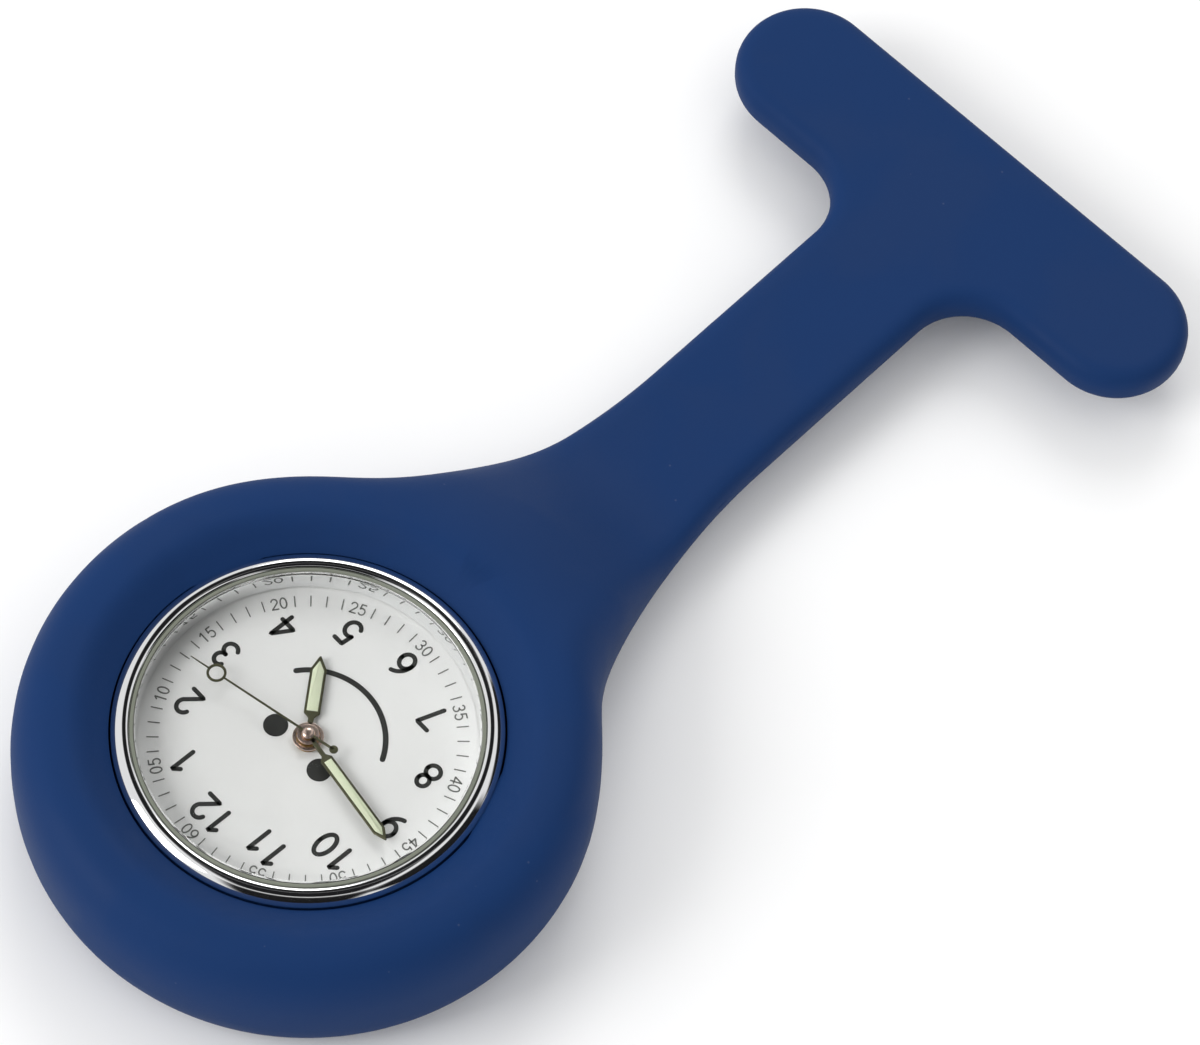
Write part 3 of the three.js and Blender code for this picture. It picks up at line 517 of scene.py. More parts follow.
def skin_lines():
    """For the right half, from the ring's foot round to the top of the bar: outline points, where each line
    ends on the top, and where it ends on the back."""
    plain = resample(SIDE, np.linspace(0, share_foot, PLAIN_LINES))
    foot = resample(SIDE, after(share_foot, share_neck, FOOT_LINES))
    neck = resample(SIDE, after(share_neck, 1, NECK_LINES))
    neck_end = neck[-1, 1]
    a = np.arctan2(plain[:, 1], plain[:, 0])
    a = np.r_[a, np.radians(FOOT_START + (90 - FOOT_START) * after(0, 1, FOOT_LINES) ** 0.9)]
    lean = after(0, 1, NECK_LINES)
    neck_y = LIP_R + (neck_end - LIP_R) * (0.55 * lean + 0.45 * lean**2)
    neck_back_y = BACK_OPENING_R + (neck_y - LIP_R) * (neck_end - BACK_OPENING_R) / (neck_end - LIP_R)
    low, high = BAR_Y - BAR_R, BAR_Y + BAR_R
    corner = arc((NECK_HALF + BAR_FILLET, low - BAR_FILLET), BAR_FILLET, 180, 90, 2 * CORNER_LINES + 1)[1:]
    corner_x = corner[-1, 0]
    spread = after(0, corner_x, CORNER_LINES)
    along = after(corner_x, SLOT_END, FLANK_LINES)
    across = corner_x + (along - corner_x) * (BAR_HALF - corner_x) / (SLOT_END - corner_x)
    turn = np.radians(np.linspace(-90, 90, END_LINES + 2))[1:-1]
    end = np.c_[BAR_HALF + BAR_R * np.cos(turn), BAR_Y + BAR_R * np.sin(turn)]
    back_x = np.r_[0, spread, along][::-1]
    far_side = np.full(len(back_x), high)
    outline = np.vstack([plain, foot, neck, corner, np.c_[across, np.full(FLANK_LINES, low)], end,
                         np.c_[np.r_[0, spread, across][::-1], far_side]])
    core_x = np.r_[np.zeros(CORNER_LINES), spread, along, np.full(END_LINES, SLOT_END), back_x]
    core_y = np.r_[after(neck_end, BAR_Y, CORNER_LINES), np.full(len(core_x) - CORNER_LINES, BAR_Y)]
    core_top = np.vstack([np.c_[LIP_R * np.cos(a), LIP_R * np.sin(a)],
                          np.c_[np.zeros(NECK_LINES), neck_y], np.c_[core_x, core_y]])
    slot_y = np.r_[after(neck_end, BAR_Y - SLOT_HALF, CORNER_LINES),
                   np.full(CORNER_LINES + FLANK_LINES, BAR_Y - SLOT_HALF),
                   BAR_Y + SLOT_HALF * np.sin(turn), np.full(len(back_x), BAR_Y + SLOT_HALF)]
    slot_x = core_x + np.r_[np.zeros(2 * CORNER_LINES + FLANK_LINES), SLOT_HALF * np.cos(turn),
                            np.zeros(len(back_x))]
    core_back = np.vstack([np.c_[BACK_OPENING_R * np.cos(a), BACK_OPENING_R * np.sin(a)],
                           np.c_[np.zeros(NECK_LINES), neck_back_y], np.c_[slot_x, slot_y]])
    return outline, core_top, core_back, len(a), len(a) + NECK_LINES + CORNER_LINES


OUTLINE, CORE_TOP, CORE_BACK, RING_LINES, BAR_START = skin_lines()
print("skin lines:", len(OUTLINE), "of which on the ring:", RING_LINES)


# %% Heights
def sink(points):
    """How far the skin has come down from ring to neck, from 0 to 1. It starts on the crest in the neck's
    direction, and further round the ring it starts later, on the outline itself."""
    off_axis = np.degrees(np.arctan2(np.abs(points[..., 0]), points[..., 1]))
    start = RING_R - (RING_R - CREST_R) * smooth((SINK_LATE - off_axis) / (SINK_LATE - SINK_EARLY))
    return smooth((np.linalg.norm(points, axis=-1) - start) / (SINK_END - start))


def ceiling(points):
    """Height before the edge is rounded. Inside the crest the ring falls in a cosine wave to its lip."""
    inside = np.clip((CREST_R - np.linalg.norm(points, axis=-1)) / (CREST_R - LIP_R), 0, 1)
    wave = (1 - np.cos(np.pi * LIP_WAVE * inside)) / (1 - np.cos(np.pi * LIP_WAVE))
    return RING_TOP + (LIP_Z - RING_TOP) * wave - (RING_TOP - NECK_TOP) * sink(points)


def edge_distance(points):
    """Distance from each point to the nearest of many points on the outline, both halves of it. The points
    are taken in 60 batches, which spares memory."""
    dense = resample(np.vstack([OUTLINE, [[0, BAR_Y + BAR_R]]]), np.linspace(0, 1, 2600))
    dense = np.vstack([dense, dense * [-1, 1]])
    batches = np.array_split(points.reshape(-1, 2), 60)
    found = [np.sqrt(((batch[:, None] - dense[None]) ** 2).sum(-1)).min(1) for batch in batches]
    return np.concatenate(found).reshape(points.shape[:-1])


def rounding(distance, width):
    """A superellipse quarter: 0 on the outline, 1 from "width" inwards."""
    return (1 - (1 - np.clip(distance / width, 0, 1)) ** EDGE_POWER) ** (1 / EDGE_POWER)


def edge_height(points):
    """Height of the outline: from the ring's to the neck's, in step with the sinking."""
    return RING_EDGE_Z + (NECK_EDGE_Z - RING_EDGE_Z) * sink(points)


def edge_width(points):
    """Width of the rounded edge: from the ring's to the neck's, in step with the sinking."""
    return RING_EDGE_WIDTH + (NECK_EDGE_WIDTH - RING_EDGE_WIDTH) * sink(points)


EDGE_STEPS, INNER_STEPS = 12, 14
MOST_EDGE = 0.72  # the largest share of a line that its rounded edge may take


def skin_side(core, top):
    """One side of the skin, from the outline inwards to its core. Points stand close together over the
    rounded edge and evenly from there on."""
    lengths = np.linalg.norm(core - OUTLINE, axis=1)[:, None]
    round_share = np.minimum(edge_width(OUTLINE)[:, None] / lengths, MOST_EDGE)
    edge = 1 - np.cos(np.linspace(0, np.pi / 2, EDGE_STEPS + 1))
    share = np.hstack([round_share * edge, round_share + (1 - round_share) * after(0, 1, INNER_STEPS)])
    points = OUTLINE[:, None] + share[..., None] * (core - OUTLINE)[:, None]
    lift = rounding(edge_distance(points), edge_width(points))
    lift[:, 0] = 0
    goal = ceiling(points) if top else BACK_Z
    return np.dstack([points, edge_height(points) + (goal - edge_height(points)) * lift])


# %% [markdown]
# The opening and the slot each need a lining: a strip that starts on the skin's edge and goes down inside.
# The ring's lining follows the pocket for the case, and the slot's lining ends in a floor behind the plate.

# %% The closed skin
def mirrored(part):
    """The same sheet with x changed to -x."""
    return part[0] * [-1, 1, 1], part[1]


def silicone_skin():
    """Top and back as one grid, and the two linings, each with its mirror image. The ring's lining carries
    the pocket's profile round: x = r cos a, y = r sin a. The slot's lining goes straight down."""
    top, back = skin_side(CORE_TOP, True), skin_side(CORE_BACK, False)
    shell = sheet(np.hstack([top[:, ::-1], back[:, 1:]]))
    ring_top, ring_back = top[:RING_LINES, -1], back[:RING_LINES, -1]
    angle = np.arctan2(ring_top[:, 1], ring_top[:, 0])
    around = np.stack([np.cos(angle), np.sin(angle)], 1)
    radii, heights = np.array(POCKET).T
    middle = np.dstack([around[:, None] * radii[None, :, None],
                        np.broadcast_to(heights, (RING_LINES, len(heights)))])
    lining = sheet(np.hstack([ring_top[:, None], middle, ring_back[:, None]]))
    border = back[BAR_START - 1:, -1]
    wall_foot = border * [1, 1, 0] + [0, 0, SLOT_FLOOR_Z]
    slot_middle = np.c_[np.clip(border[:, 0], 0, SLOT_END), np.full(len(border), BAR_Y),
                        np.full(len(border), SLOT_FLOOR_Z)]
    slot = sheet(np.stack([border, wall_foot, slot_middle], 1))
    half = [shell, lining, slot]
    return half + [mirrored(part) for part in half]


skin = build("silicone_skin", silicone_skin(), SILICONE, None, crease=50,
             replaces=("silicone_case_holder", "silicone_top_bar"))
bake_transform(skin)

# %% [markdown]
# ## Case, glass and back
#
# The case is turned on a lathe in real life and here. Its bezel is a narrow polished crown, then comes the
# seal, and inside it a nearly upright polished wall that mirrors the edge of the dial. The glass is a flat
# disc with a fine chamfer. The back is a lid with turned rings and a small notch for a case knife. Bevelled
# tubes could stand in for it, but a profile gives each step of the turned metal its own height and slope.

# %% Case body
CASE_PROFILE = [[13.3, 1.7], [13.3, 0], [14.2, 0], [15, 0.8], [15, 6.2],  # from the back up the outside
                [13.32, 7.3], [13.22, 7.95], [12.98, 8.24], [12.62, 8.44], [12.3, 8.5], [11.97, 8.4],  # bezel
                [11.97, 7.77], [11.6, 7.77],  # seat of the glass
                [11.35, 6.1], [12.35, 6.1], [12.35, 1.7], [13.3, 1.7]]  # polished wall, and down to the lid
build("case_polished", [lathe(softened(CASE_PROFILE, 0.14), 192)], CHROME, "case_holder",
      replaces=("case_body",), crease=40)

# %% Glass and seal
GLASS_PROFILE = [[0, 7.8], [11.65, 7.8], [11.65, 8.35], [11.55, 8.45], [0, 8.45]]
build("crystal_clear", [lathe(softened(GLASS_PROFILE, 0.03), 192)], GLASS, "case_holder",
      replaces=("crystal",))
seal = lathe(softened(washer(11.68, 11.94, 7.81, 8.36), 0.05), 192)
build("crystal_seal", [seal], SEAL, "case_holder", replaces=("crystal_gasket",))

# %% Back lid
LID_R, LID_BEVEL_R, LID_INNER_Z, LID_STEPS = 13.2, 12.9, 0.7, 240
BEVEL_SLOPE = 0.83
GROOVE_R, GROOVE_WIDTH, GROOVE_DEPTH = (9.8, 10.2, 12.3), 0.12, 0.06
NOTCH_R, NOTCH_DEPTH, NOTCH_HALF = 12.55, 0.32, 0.115  # the half width is an angle in radians


def back_lid():
    """A disc as a height over radius and angle: a flat middle, three shallow turned rings, a bevelled rim
    and a notch where a knife lifts the lid. It closes on a plain inner face."""
    r = np.r_[np.linspace(0, 9, 10), np.linspace(9.2, LID_BEVEL_R, 75), np.linspace(12.95, LID_R, 6)]
    a = np.linspace(0, TURN, LID_STEPS, endpoint=False)[:, None]
    groove = sum(np.exp(-(((r - middle) / GROOVE_WIDTH) ** 2)) for middle in GROOVE_R) * GROOVE_DEPTH
    bevel = np.clip(r - LID_BEVEL_R, 0, None) * BEVEL_SLOPE
    off_notch = np.abs((a + np.pi / 2 + np.pi) % TURN - np.pi)
    notch = NOTCH_DEPTH * smooth((NOTCH_HALF - off_notch) / 0.02) * smooth((r - NOTCH_R) / 0.1)
    x, y = r * np.cos(a), r * np.sin(a)
    inner = np.full((LID_STEPS, 1), LID_INNER_Z)
    face = np.dstack([x, y, np.maximum(groove + bevel, notch)])
    rim = np.dstack([x[:, -1:], y[:, -1:], inner])
    middle = np.dstack([x[:, :1], y[:, :1], inner])
    return sheet(np.concatenate([face, rim, middle], 1), wrap_rows=True)


lid_wall = lathe(washer(11.9, 12.3, 0.69, 2), 144)
build("case_lid", [back_lid(), lid_wall], STEEL, "case_holder", replaces=("case_back",))

# %% [markdown]
# ## The dial
#
# The dial is a flat lacquered disc. Its print is raised by two hundredths of a millimetre, as screen print
# is. A digit is one or two pen strokes: a path of lines and arcs carried along with a narrow section and
# round ends. Hour numerals stand upright for the wearer, with twelve farthest from the bar, and the minute
# numerals fan out round the edge with their tops outwards. A picture or a font could print them too. Strokes
# need neither, and their edges stay sharp from near by.

# %% The disc
DIAL_LOW, DIAL_TOP, DIAL_R, DIAL_HOLE_R = 5.85, 6.05, 12.2, 0.95
dial = lathe(softened(washer(DIAL_HOLE_R, DIAL_R, DIAL_LOW, DIAL_TOP), 0.02), 144)
build("dial_disc", [dial], DIAL_PAINT, "case_holder", replaces=("dial",))
PRINT_LOW, PRINT_HIGH = DIAL_TOP - 0.01, DIAL_TOP + 0.02


# %% Pen strokes
CAP_STEPS = 5


def stroke(path, width):
    """A path on the dial carried with a flat section. Beyond each end the half width shrinks as a cosine
    while the path goes on by a sine, which draws a half circle. The section is a closed box."""
    path = np.asarray(path, float)
    half = width / 2
    ahead = np.gradient(path, axis=0)
    ahead /= np.linalg.norm(ahead, axis=1, keepdims=True)
    t = after(0, np.pi / 2, CAP_STEPS)
    before = path[0] - ahead[0] * half * np.sin(t[::-1, None])
    beyond = path[-1] + ahead[-1] * half * np.sin(t[:, None])
    line = np.vstack([before, path, beyond])
    direction = np.vstack([np.repeat(ahead[:1], CAP_STEPS, 0), ahead, np.repeat(ahead[-1:], CAP_STEPS, 0)])
    reach = half * np.r_[np.cos(t[::-1]), np.ones(len(path)), np.cos(t)]
    side = np.stack([-direction[:, 1], direction[:, 0]], 1) * reach[:, None]
    left, right = line + side, line - side
    section = [(left, PRINT_HIGH), (right, PRINT_HIGH), (right, PRINT_LOW), (left, PRINT_LOW)]
    grid = np.stack([np.c_[edge, np.full(len(line), z)] for edge, z in section], 1)
    return sheet(grid, wrap_columns=True)


def bow(x, y, rx, ry, start, end, count=17):
    """A piece of an ellipse: (x + rx cos a, y + ry sin a), with a in degrees from start to end."""
    a = np.radians(np.linspace(start, end, count))
    return np.c_[x + rx * np.cos(a), y + ry * np.sin(a)]


def straight(*points):
    """A path through corners, with points close together next to each corner so that it stays sharp."""
    points = np.asarray(points, float)
    share = np.r_[0, 0.02, 0.5, 0.98]
    legs = [start + share[:, None] * (end - start) for start, end in zip(points[:-1], points[1:])]
    return np.vstack([*legs, points[-1:]])


# Each digit is one unit tall, with its foot at zero and its left edge near zero.
SIX = [bow(0.28, 0.31, 0.27, 0.31, 0, 360, 25), bow(0.63, 0.33, 0.62, 0.66, 180, 108)]
DIGITS = {
    "0": [bow(0.28, 0.5, 0.27, 0.5, 0, 360, 29)],
    "1": [straight((0.1, 0.78), (0.32, 1.0), (0.32, 0.0))],
    "2": [np.vstack([bow(0.28, 0.72, 0.26, 0.28, 165, -38),
                     straight((0.44, 0.5), (0.02, 0), (0.56, 0))[1:]])],
    "3": [bow(0.26, 0.755, 0.23, 0.245, 150, -90), bow(0.26, 0.26, 0.27, 0.26, 90, -150)],
    "4": [straight((0.44, 0), (0.44, 1), (0.0, 0.3), (0.6, 0.3))],
    "5": [straight((0.5, 1), (0.12, 1), (0.08, 0.56)), bow(0.27, 0.32, 0.28, 0.32, 130, -145)],
    "6": SIX,
    "7": [straight((0.02, 1), (0.54, 1), (0.2, 0))],
    "8": [bow(0.28, 0.76, 0.22, 0.24, 0, 360, 25), bow(0.28, 0.265, 0.27, 0.265, 0, 360, 25)],
    "9": [np.array([0.56, 1.0]) - path for path in SIX],
}
DIGIT_STEP, DIGIT_WIDE = 0.78, 0.56


# %% Print on the dial
DIAL_TURN = 3.5  # degrees that the dial sits clockwise of the strap's own line


def compass(clock):
    """Outwards (-sin a, -cos a) and clockwise (-cos a, sin a) at a clock angle a in degrees. Twelve is near
    -Y and three near -X."""
    a = np.radians(clock + DIAL_TURN)
    return np.array([-np.sin(a), -np.cos(a)]), np.array([-np.cos(a), np.sin(a)])


def written(text, centre, up, right, tall, width):
    """Digits side by side, their middle at "centre". A digit's point (x, y) lands at centre + tall (x right
    + y up)."""
    span = (len(text) - 1) * DIGIT_STEP + DIGIT_WIDE
    parts = []
    for place, digit in enumerate(text):
        for path in DIGITS[digit]:
            shifted = (path + [place * DIGIT_STEP - span / 2, -0.5]) * tall
            parts.append(stroke(centre + shifted @ np.stack([right, up]), width))
    return parts


HOUR_R, HOUR_TALL, HOUR_PEN = 8.42, 1.85, 0.31
MINUTE_R, MINUTE_TALL, MINUTE_PEN = 10.3, 0.78, 0.1
TICK_IN, TICK_OUT, TICK_PEN = 9.95, 10.7, 0.08
hours, minutes = [], []
UP, RIGHT = compass(0)
for hour in range(1, 13):
    out = compass(30 * hour)[0]
    hours += written(str(hour), out * HOUR_R, UP, RIGHT, HOUR_TALL, HOUR_PEN)
for minute in range(1, 61):
    out, clockwise = compass(6 * minute)
    if minute % 5:
        minutes.append(stroke(np.linspace(TICK_IN, TICK_OUT, 3)[:, None] * out, TICK_PEN))
    else:
        minutes += written(f"{minute:02d}", out * MINUTE_R, out, clockwise, MINUTE_TALL, MINUTE_PEN)
build("hour_numerals", hours, INK, "case_holder")
build("minute_track", minutes, PALE_INK, "case_holder")

# %% [markdown]
# Two round dots and a plain arc decorate the middle of the dial. The arc is drawn with the same pen.

# %% Dots and arc
DOT_R, DOT_APART, DOT_UP = 0.84, 2.2, 0.95
ARC_R, ARC_HALF, ARC_PEN = 5.15, 58, 0.38  # the half is in degrees
decoration = [lathe(disc(DOT_R, PRINT_LOW, PRINT_HIGH), 48, x * RIGHT + DOT_UP * UP)
              for x in (-DOT_APART, DOT_APART)]
curve = np.radians(np.linspace(-ARC_HALF, ARC_HALF, 61))[:, None]
decoration.append(stroke(-ARC_R * (np.sin(curve) * RIGHT + np.cos(curve) * UP), ARC_PEN))
build("dial_dots_and_arc", decoration, INK, "case_holder")


# %% [markdown]
# ## Hands
#
# Hour and minute hands are stamped: a thin stem widens to a blade with a point, and the blade's edges are
# slightly rounded. The paste lies in a window of the blade and stands a little proud, and a polished boss
# sits on the arbor. The second hand is a needle with a ring near its tip, a short tail with a small disc,
# and a polished cap over the hub. Each is an outline lifted through a few levels. A box with a bevel would be
# shorter to write, but levels keep the thin points clean.

# %% Hour and minute hands
def at_clock(part, clock):
    """A part that points along +Y, turned by 180 degrees less its clock angle, as twelve lies along -Y."""
    return placed(part, Matrix.Rotation(np.radians(180 - clock), 4, "Z"))


def blade(half, stem, start, reach, point):
    """A hand's outline, pointing along +Y, anticlockwise."""
    right = [[stem, 0], [stem, start - 0.35], [half, start], [half, reach - point], [0.05, reach]]
    return np.array(right + [[-x, y] for x, y in right[::-1]])


HANDS = {
    "hour": dict(body="hour", clock=142.5, half=0.55, stem=0.2, start=1.75, reach=6.05, point=1.0, z=6.35,
                 boss=(0.79, 1.05)),
    "minute": dict(body="centre", clock=281.0, half=0.44, stem=0.16, start=2.2, reach=9.3, point=0.8, z=6.67,
                   boss=(0.45, 0.75)),
}
THICK = 0.14
WINDOW_FRAME = 0.17  # metal left beside the window
for name, hand in HANDS.items():
    half, start, reach, point, z = (hand[key] for key in ("half", "start", "reach", "point", "z"))
    inner, outer = hand["boss"]
    flat = slab(blade(half, hand["stem"], start, reach, point),
                [(0.03, z), (0, z + 0.03), (0, z + THICK - 0.05), (0.05, z + THICK)])
    boss = lathe(softened(washer(inner, outer, z, z + THICK), 0.03), 64)
    side = half - WINDOW_FRAME
    window = np.array([[side, start + 0.15], [side, reach - point - 0.1], [0.02, reach - 0.4]])
    window = np.vstack([window, (window * [-1, 1])[::-1]])
    paste = slab(window, [(0, z + 0.04), (0, z + THICK + 0.01), (0.05, z + THICK + 0.035)])
    build(name + "_hand_blade", [at_clock(flat, hand["clock"])], HAND_METAL, hand["body"],
          replaces=(name + "_hand",))
    build(name + "_hand_boss", [boss], HUB_METAL, hand["body"])
    build(name + "_hand_paste", [at_clock(paste, hand["clock"])], LUME, hand["body"],
          replaces=(name + "_hand_lume",))

# %% Second hand
SECOND_Z, SECOND_CLOCK = 6.93, 80.7
SECOND_TOP = SECOND_Z + 0.1
EYE_Y, EYE_IN, EYE_OUT, TIP_Y, TAIL_Y, TAIL_R = 7.6, 0.5, 0.68, 9.75, -2.1, 0.3
EYE_JOIN = 0.55  # needle and tip end inside the eye's rim, this far from its middle
level = [(0.015, SECOND_Z), (0, SECOND_Z + 0.02), (0, SECOND_Z + 0.08), (0.015, SECOND_TOP)]
needle = slab([[0.09, TAIL_Y], [0.06, EYE_Y - EYE_JOIN], [-0.06, EYE_Y - EYE_JOIN], [-0.09, TAIL_Y]], level)
tip = slab([[0.06, EYE_Y + EYE_JOIN], [0.03, TIP_Y], [-0.03, TIP_Y], [-0.06, EYE_Y + EYE_JOIN]], level)
eye = lathe(softened(washer(EYE_IN, EYE_OUT, SECOND_Z, SECOND_TOP), 0.03), 48, (0, EYE_Y))
tail = lathe(softened(disc(TAIL_R, SECOND_Z, SECOND_TOP), 0.03), 32, (0, TAIL_Y))
needle_parts = [at_clock(part, SECOND_CLOCK) for part in (needle, tip, eye, tail)]
build("second_hand_needle", needle_parts, HAND_METAL, "seconds", replaces=("second_hand",))
cap_profile = softened([[0, SECOND_Z - 0.01], [0.44, SECOND_Z - 0.01], [0.44, SECOND_TOP],
                        [0.3, SECOND_Z + 0.2], [0, SECOND_Z + 0.26]], 0.08)
build("second_hand_cap", [lathe(cap_profile, 64)], HUB_METAL, "seconds")

# %% [markdown]
# ## Brooch hardware
#
# The plate, the hinge's rivet and the locking catch are small steel parts. Their CAD shapes are right, so
# each gets a copy whose loose triangles are merged, whose edges are bevelled a few hundredths of a
# millimetre, and whose round faces are shaded smooth. The pin itself is drawn anew, with a sharp point.


# %% Rounded copies of the CAD hardware
BEVEL_WIDTH, SHARP_ANGLE = 0.05, np.radians(40)


def rounded_copy(node, body, material):
    """A merged copy of a CAD node with bevelled edges."""
    mesh = frame["nodes"][node].data.copy()
    work = bmesh.new()
    work.from_mesh(mesh)
    bmesh.ops.remove_doubles(work, verts=work.verts, dist=1e-6)
    work.to_mesh(mesh)
    work.free()
    mesh.materials.clear()
    mesh.materials.append(material)
    mesh.shade_smooth()
    mesh.set_sharp_from_angle(angle=SHARP_ANGLE)
    piece = bpy.data.objects.new(node + "_finished", mesh)
    bpy.context.scene.collection.objects.link(piece)
    bevel = piece.modifiers.new("Bevel", "BEVEL")
    bevel.width, bevel.segments, bevel.angle_limit = BEVEL_WIDTH * MM, 2, SHARP_ANGLE
    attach(piece, body)
    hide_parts(node)
    print(f"{piece.name}: {len(mesh.polygons)} faces before its bevel")


for node, body, material in (("brooch_plate", "top_bar", STEEL),
                             ("brooch_hinge_rivet", "top_bar", PIN_STEEL),
                             ("catch_shell", "top_bar", STEEL), ("catch_drum", "catch", PIN_STEEL)):
    rounded_copy(node, body, material)

# %% The pin arm
PIN_Z, HINGE_X = -2.9, 13.9
WIRE_R, WIRE_END = 0.38, HINGE_X - 0.45
along_pin = Matrix(((0, 0, 1, 0), (0, 1, 0, BAR_Y), (-1, 0, 0, PIN_Z), (0, 0, 0, 1)))
across_pin = Matrix(((1, 0, 0, HINGE_X), (0, 0, 1, BAR_Y), (0, -1, 0, PIN_Z), (0, 0, 0, 1)))
wire_profile = [[0, -14.6], [0.15, -14.15], [0.3, -13], [WIRE_R, -9], [WIRE_R, WIRE_END], [0, WIRE_END]]
wire = lathe(softened(wire_profile, 0.3), 32)
loop = lathe(softened(washer(0.36, 0.72, -0.7, 0.7), 0.12), 48)
build("pin_wire", [placed(wire, along_pin), placed(loop, across_pin)], PIN_STEEL, "pin_arm",
      replaces=("brooch_pin_arm",))

# %% [markdown]
# ## Floor, light and camera
#
# The floor is pale and plain. It leans by two degrees, because the watch lies on the back of its ring and
# on the catch of its pin. A white surround and two soft lamps light it. Black cards that only mirrors show
# stand between them and give the polished bezel its dark bands. Painted reflections would slide when the
# view moves, and real cards don't. The camera has a long lens and stands far off, so the round ring keeps its
# form away from the middle of the frame.

# %% Floor
REST_Y, REST_Z, CATCH_Z = -17.0, -1.02, -4.05  # where the ring's back and the catch touch the floor
FLOOR_HALF = 1600.0
lean = (CATCH_Z - REST_Z) / (BAR_Y - REST_Y)
reach = np.array([-FLOOR_HALF, FLOOR_HALF])
x, y = np.meshgrid(reach, reach, indexing="ij")
floor_mesh = bpy.data.meshes.new("floor")
floor_points, floor_faces = sheet(np.dstack([x, y, REST_Z + (y - REST_Y) * lean]))
floor_mesh.from_pydata(floor_points * MM, [], floor_faces)
floor = bpy.data.objects.new("floor", floor_mesh)
bpy.context.scene.collection.objects.link(floor)
floor_mesh.materials.append(finish("pale floor", (0.95, 0.95, 0.95, 1), 0.7, tone=0.003, bump=0.0))

# %% Light
bpy.context.scene.view_settings.view_transform = "Standard"
world = bpy.data.worlds.new("studio")
bpy.context.scene.world = world
world.use_nodes = True
surround = world.node_tree.nodes["Background"].inputs
surround["Color"].default_value = (1, 1, 1, 1)
surround["Strength"].default_value = 0.8


def facing(place):
    """A frame at "place", in metres, whose Z axis points away from the watch."""
    back = np.array(place, float) / np.linalg.norm(place)
    right = np.cross([0, 0, 1], back)
    right /= np.linalg.norm(right)
    turn = np.eye(4)
    turn[:3, :3] = np.stack([right, np.cross(back, right), back], 1)
    turn[:3, 3] = place
    return Matrix(turn)


def lamp(name, place, size, power):
    """A square soft lamp that faces the watch, with its side in metres and its power in watts."""
    data = bpy.data.lights.new(name, "AREA")
    data.shape, data.size, data.energy = "SQUARE", size, power
    made = bpy.data.objects.new(name, data)
    bpy.context.scene.collection.objects.link(made)
    made.matrix_world = facing(place)


SOLID_HALF, CARD_HALF = 0.34, 0.5  # the card is fully black up to the first, as shares of its side


def black_cloth():
    """Black that thins out to nothing towards the card's edge, so that a mirror shows a soft line."""
    material = finish("black card", (0.012, 0.012, 0.013, 1), 0.9, tone=0.0, bump=0.0,
                      Specular_IOR_Level=0.0)
    g = Graph(material.node_tree)
    place = g.add("SeparateXYZ", Vector=g.add("TexCoord").outputs["UV"])
    off_middle = [g.math("ABSOLUTE", g.math("SUBTRACT", place.outputs[k], CARD_HALF)) for k in (0, 1)]
    cover = g.remap(g.math("MAXIMUM", *off_middle), SOLID_HALF, CARD_HALF, 1.0, 0.0)
    g.feed(material.node_tree.nodes["Principled BSDF"], "Alpha", cover)
    return material


BLACK = black_cloth()
CARD_CORNERS = np.array([(0, 0), (1, 0), (1, 1), (0, 1)])


def flag(name, place, wide, high):
    """A black card that only mirrors show. It gives polished metal its dark bands and takes no light away."""
    mesh = bpy.data.meshes.new(name)
    corners = np.c_[(CARD_CORNERS - CARD_HALF) * [wide, high], np.zeros(4)]
    mesh.from_pydata(corners, [], [(0, 1, 2, 3)])
    mesh.uv_layers.new(name="card").data.foreach_set("uv", CARD_CORNERS.ravel().tolist())
    mesh.transform(facing(place))
    mesh.materials.append(BLACK)
    made = bpy.data.objects.new(name, mesh)
    bpy.context.scene.collection.objects.link(made)
    made.visible_camera = made.visible_diffuse = made.visible_shadow = False


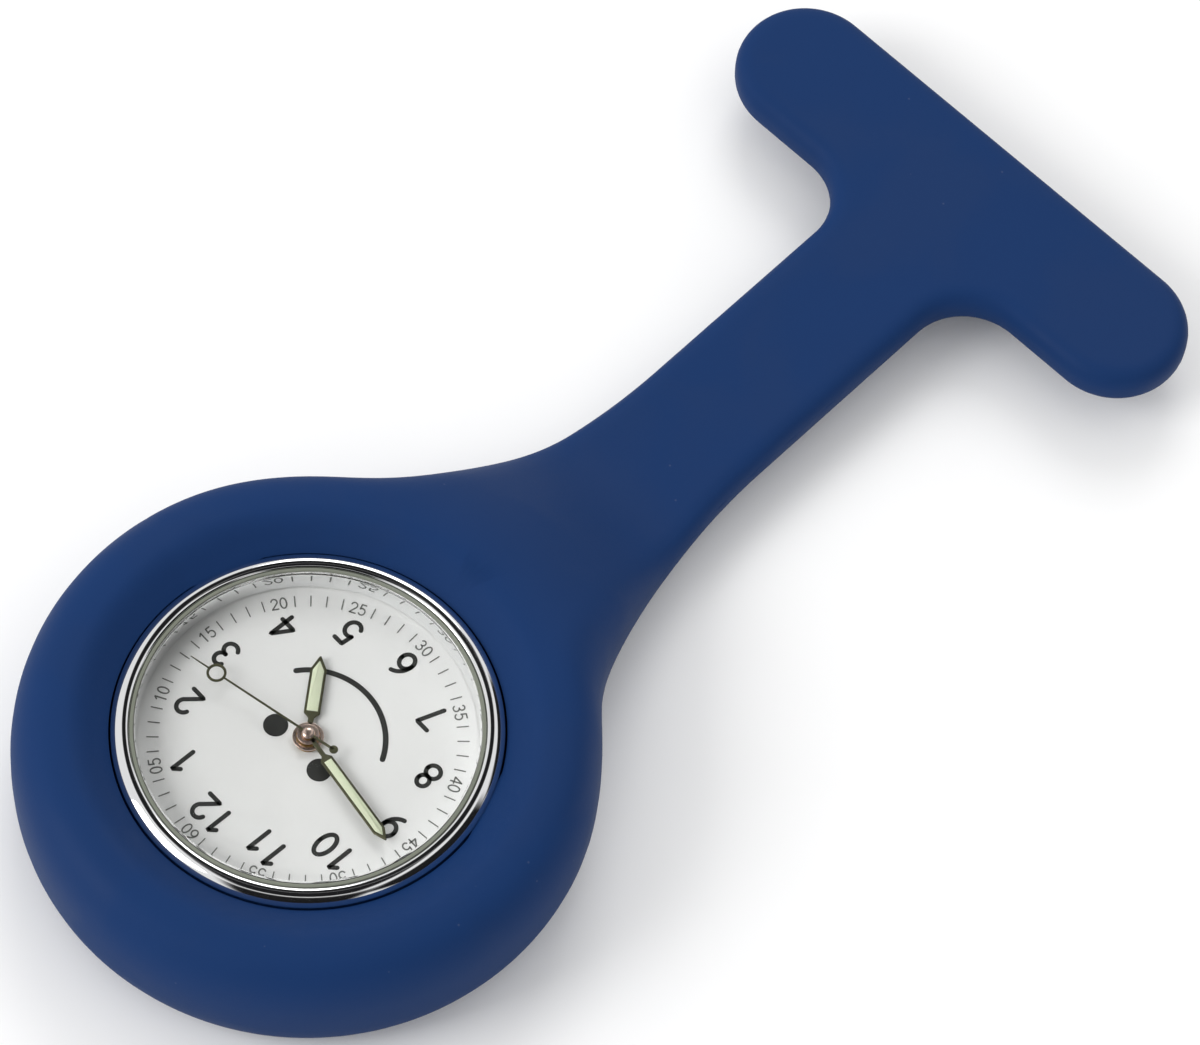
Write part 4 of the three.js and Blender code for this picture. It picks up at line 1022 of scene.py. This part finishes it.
lamp("key", (-0.24, -0.4, 0.4), 0.3, 1.5)
lamp("fill", (-0.3, 0.42, 0.45), 0.3, 0.9)
flag("flag over the glass", (-0.17, 0.2, 0.49), 0.48, 0.42)
flag("flag behind the camera", (0.33, -0.4, 0.42), 0.7, 0.7)
flag("flag on the right", (0.5, 0.18, 0.42), 0.7, 0.6)
flag("flag beyond the bar", (0.23, 0.6, 0.25), 0.55, 0.4)
flag("flag on the left", (-0.55, 0.26, 0.1), 0.44, 0.28)
flag("flag overhead", (0.04, -0.05, 0.62), 0.44, 0.44)
flag("low flag in front", (0.43, -0.52, 0.15), 0.8, 0.36)
flag("low flag on the right", (0.64, 0.17, 0.15), 0.7, 0.36)
print("lamps:", len(bpy.data.lights))

# %% Camera
AZIMUTH, ELEVATION, ROLL = 39.51, 61.46, 5.31
DISTANCE, LENS, SENSOR = 409.67, 180.0, 36.0
AIM_U, AIM_V = 308.0, 786.4  # where the middle of the ring's back lands in a frame of 1200 by 1045
WIDE, HIGH = 1200, 1045


def camera_matrix():
    """Back, right and up follow from azimuth and elevation, and roll turns right and up about back. The
    camera stands so that the middle of the ring's back lands where it should in the frame."""
    azimuth, elevation, roll = np.radians([AZIMUTH, ELEVATION, ROLL])
    back = np.array([np.sin(azimuth) * np.cos(elevation), -np.cos(azimuth) * np.cos(elevation),
                     np.sin(elevation)])
    right = np.array([np.cos(azimuth), np.sin(azimuth), 0])
    up = np.cross(back, right)
    axes = np.stack([np.cos(roll) * right + np.sin(roll) * up,
                     -np.sin(roll) * right + np.cos(roll) * up, back])
    focal = LENS / SENSOR * WIDE
    seen = DISTANCE * np.array([(AIM_U - WIDE / 2) / focal, -(AIM_V - HIGH / 2) / focal, -1])
    matrix = np.eye(4)
    matrix[:3, :3] = axes.T
    matrix[:3, 3] = (np.array([0, 0, BACK_Z]) - axes.T @ seen) * MM
    return Matrix(matrix)


camera_data = bpy.data.cameras.new("camera")
camera_data.lens, camera_data.sensor_width = LENS, SENSOR
camera_data.clip_start, camera_data.clip_end = 0.01, 20
camera = bpy.data.objects.new("camera", camera_data)
bpy.context.scene.collection.objects.link(camera)
camera.matrix_world = camera_matrix()
bpy.context.scene.camera = camera
print("camera at:", [round(value, 4) for value in camera.matrix_world.translation])
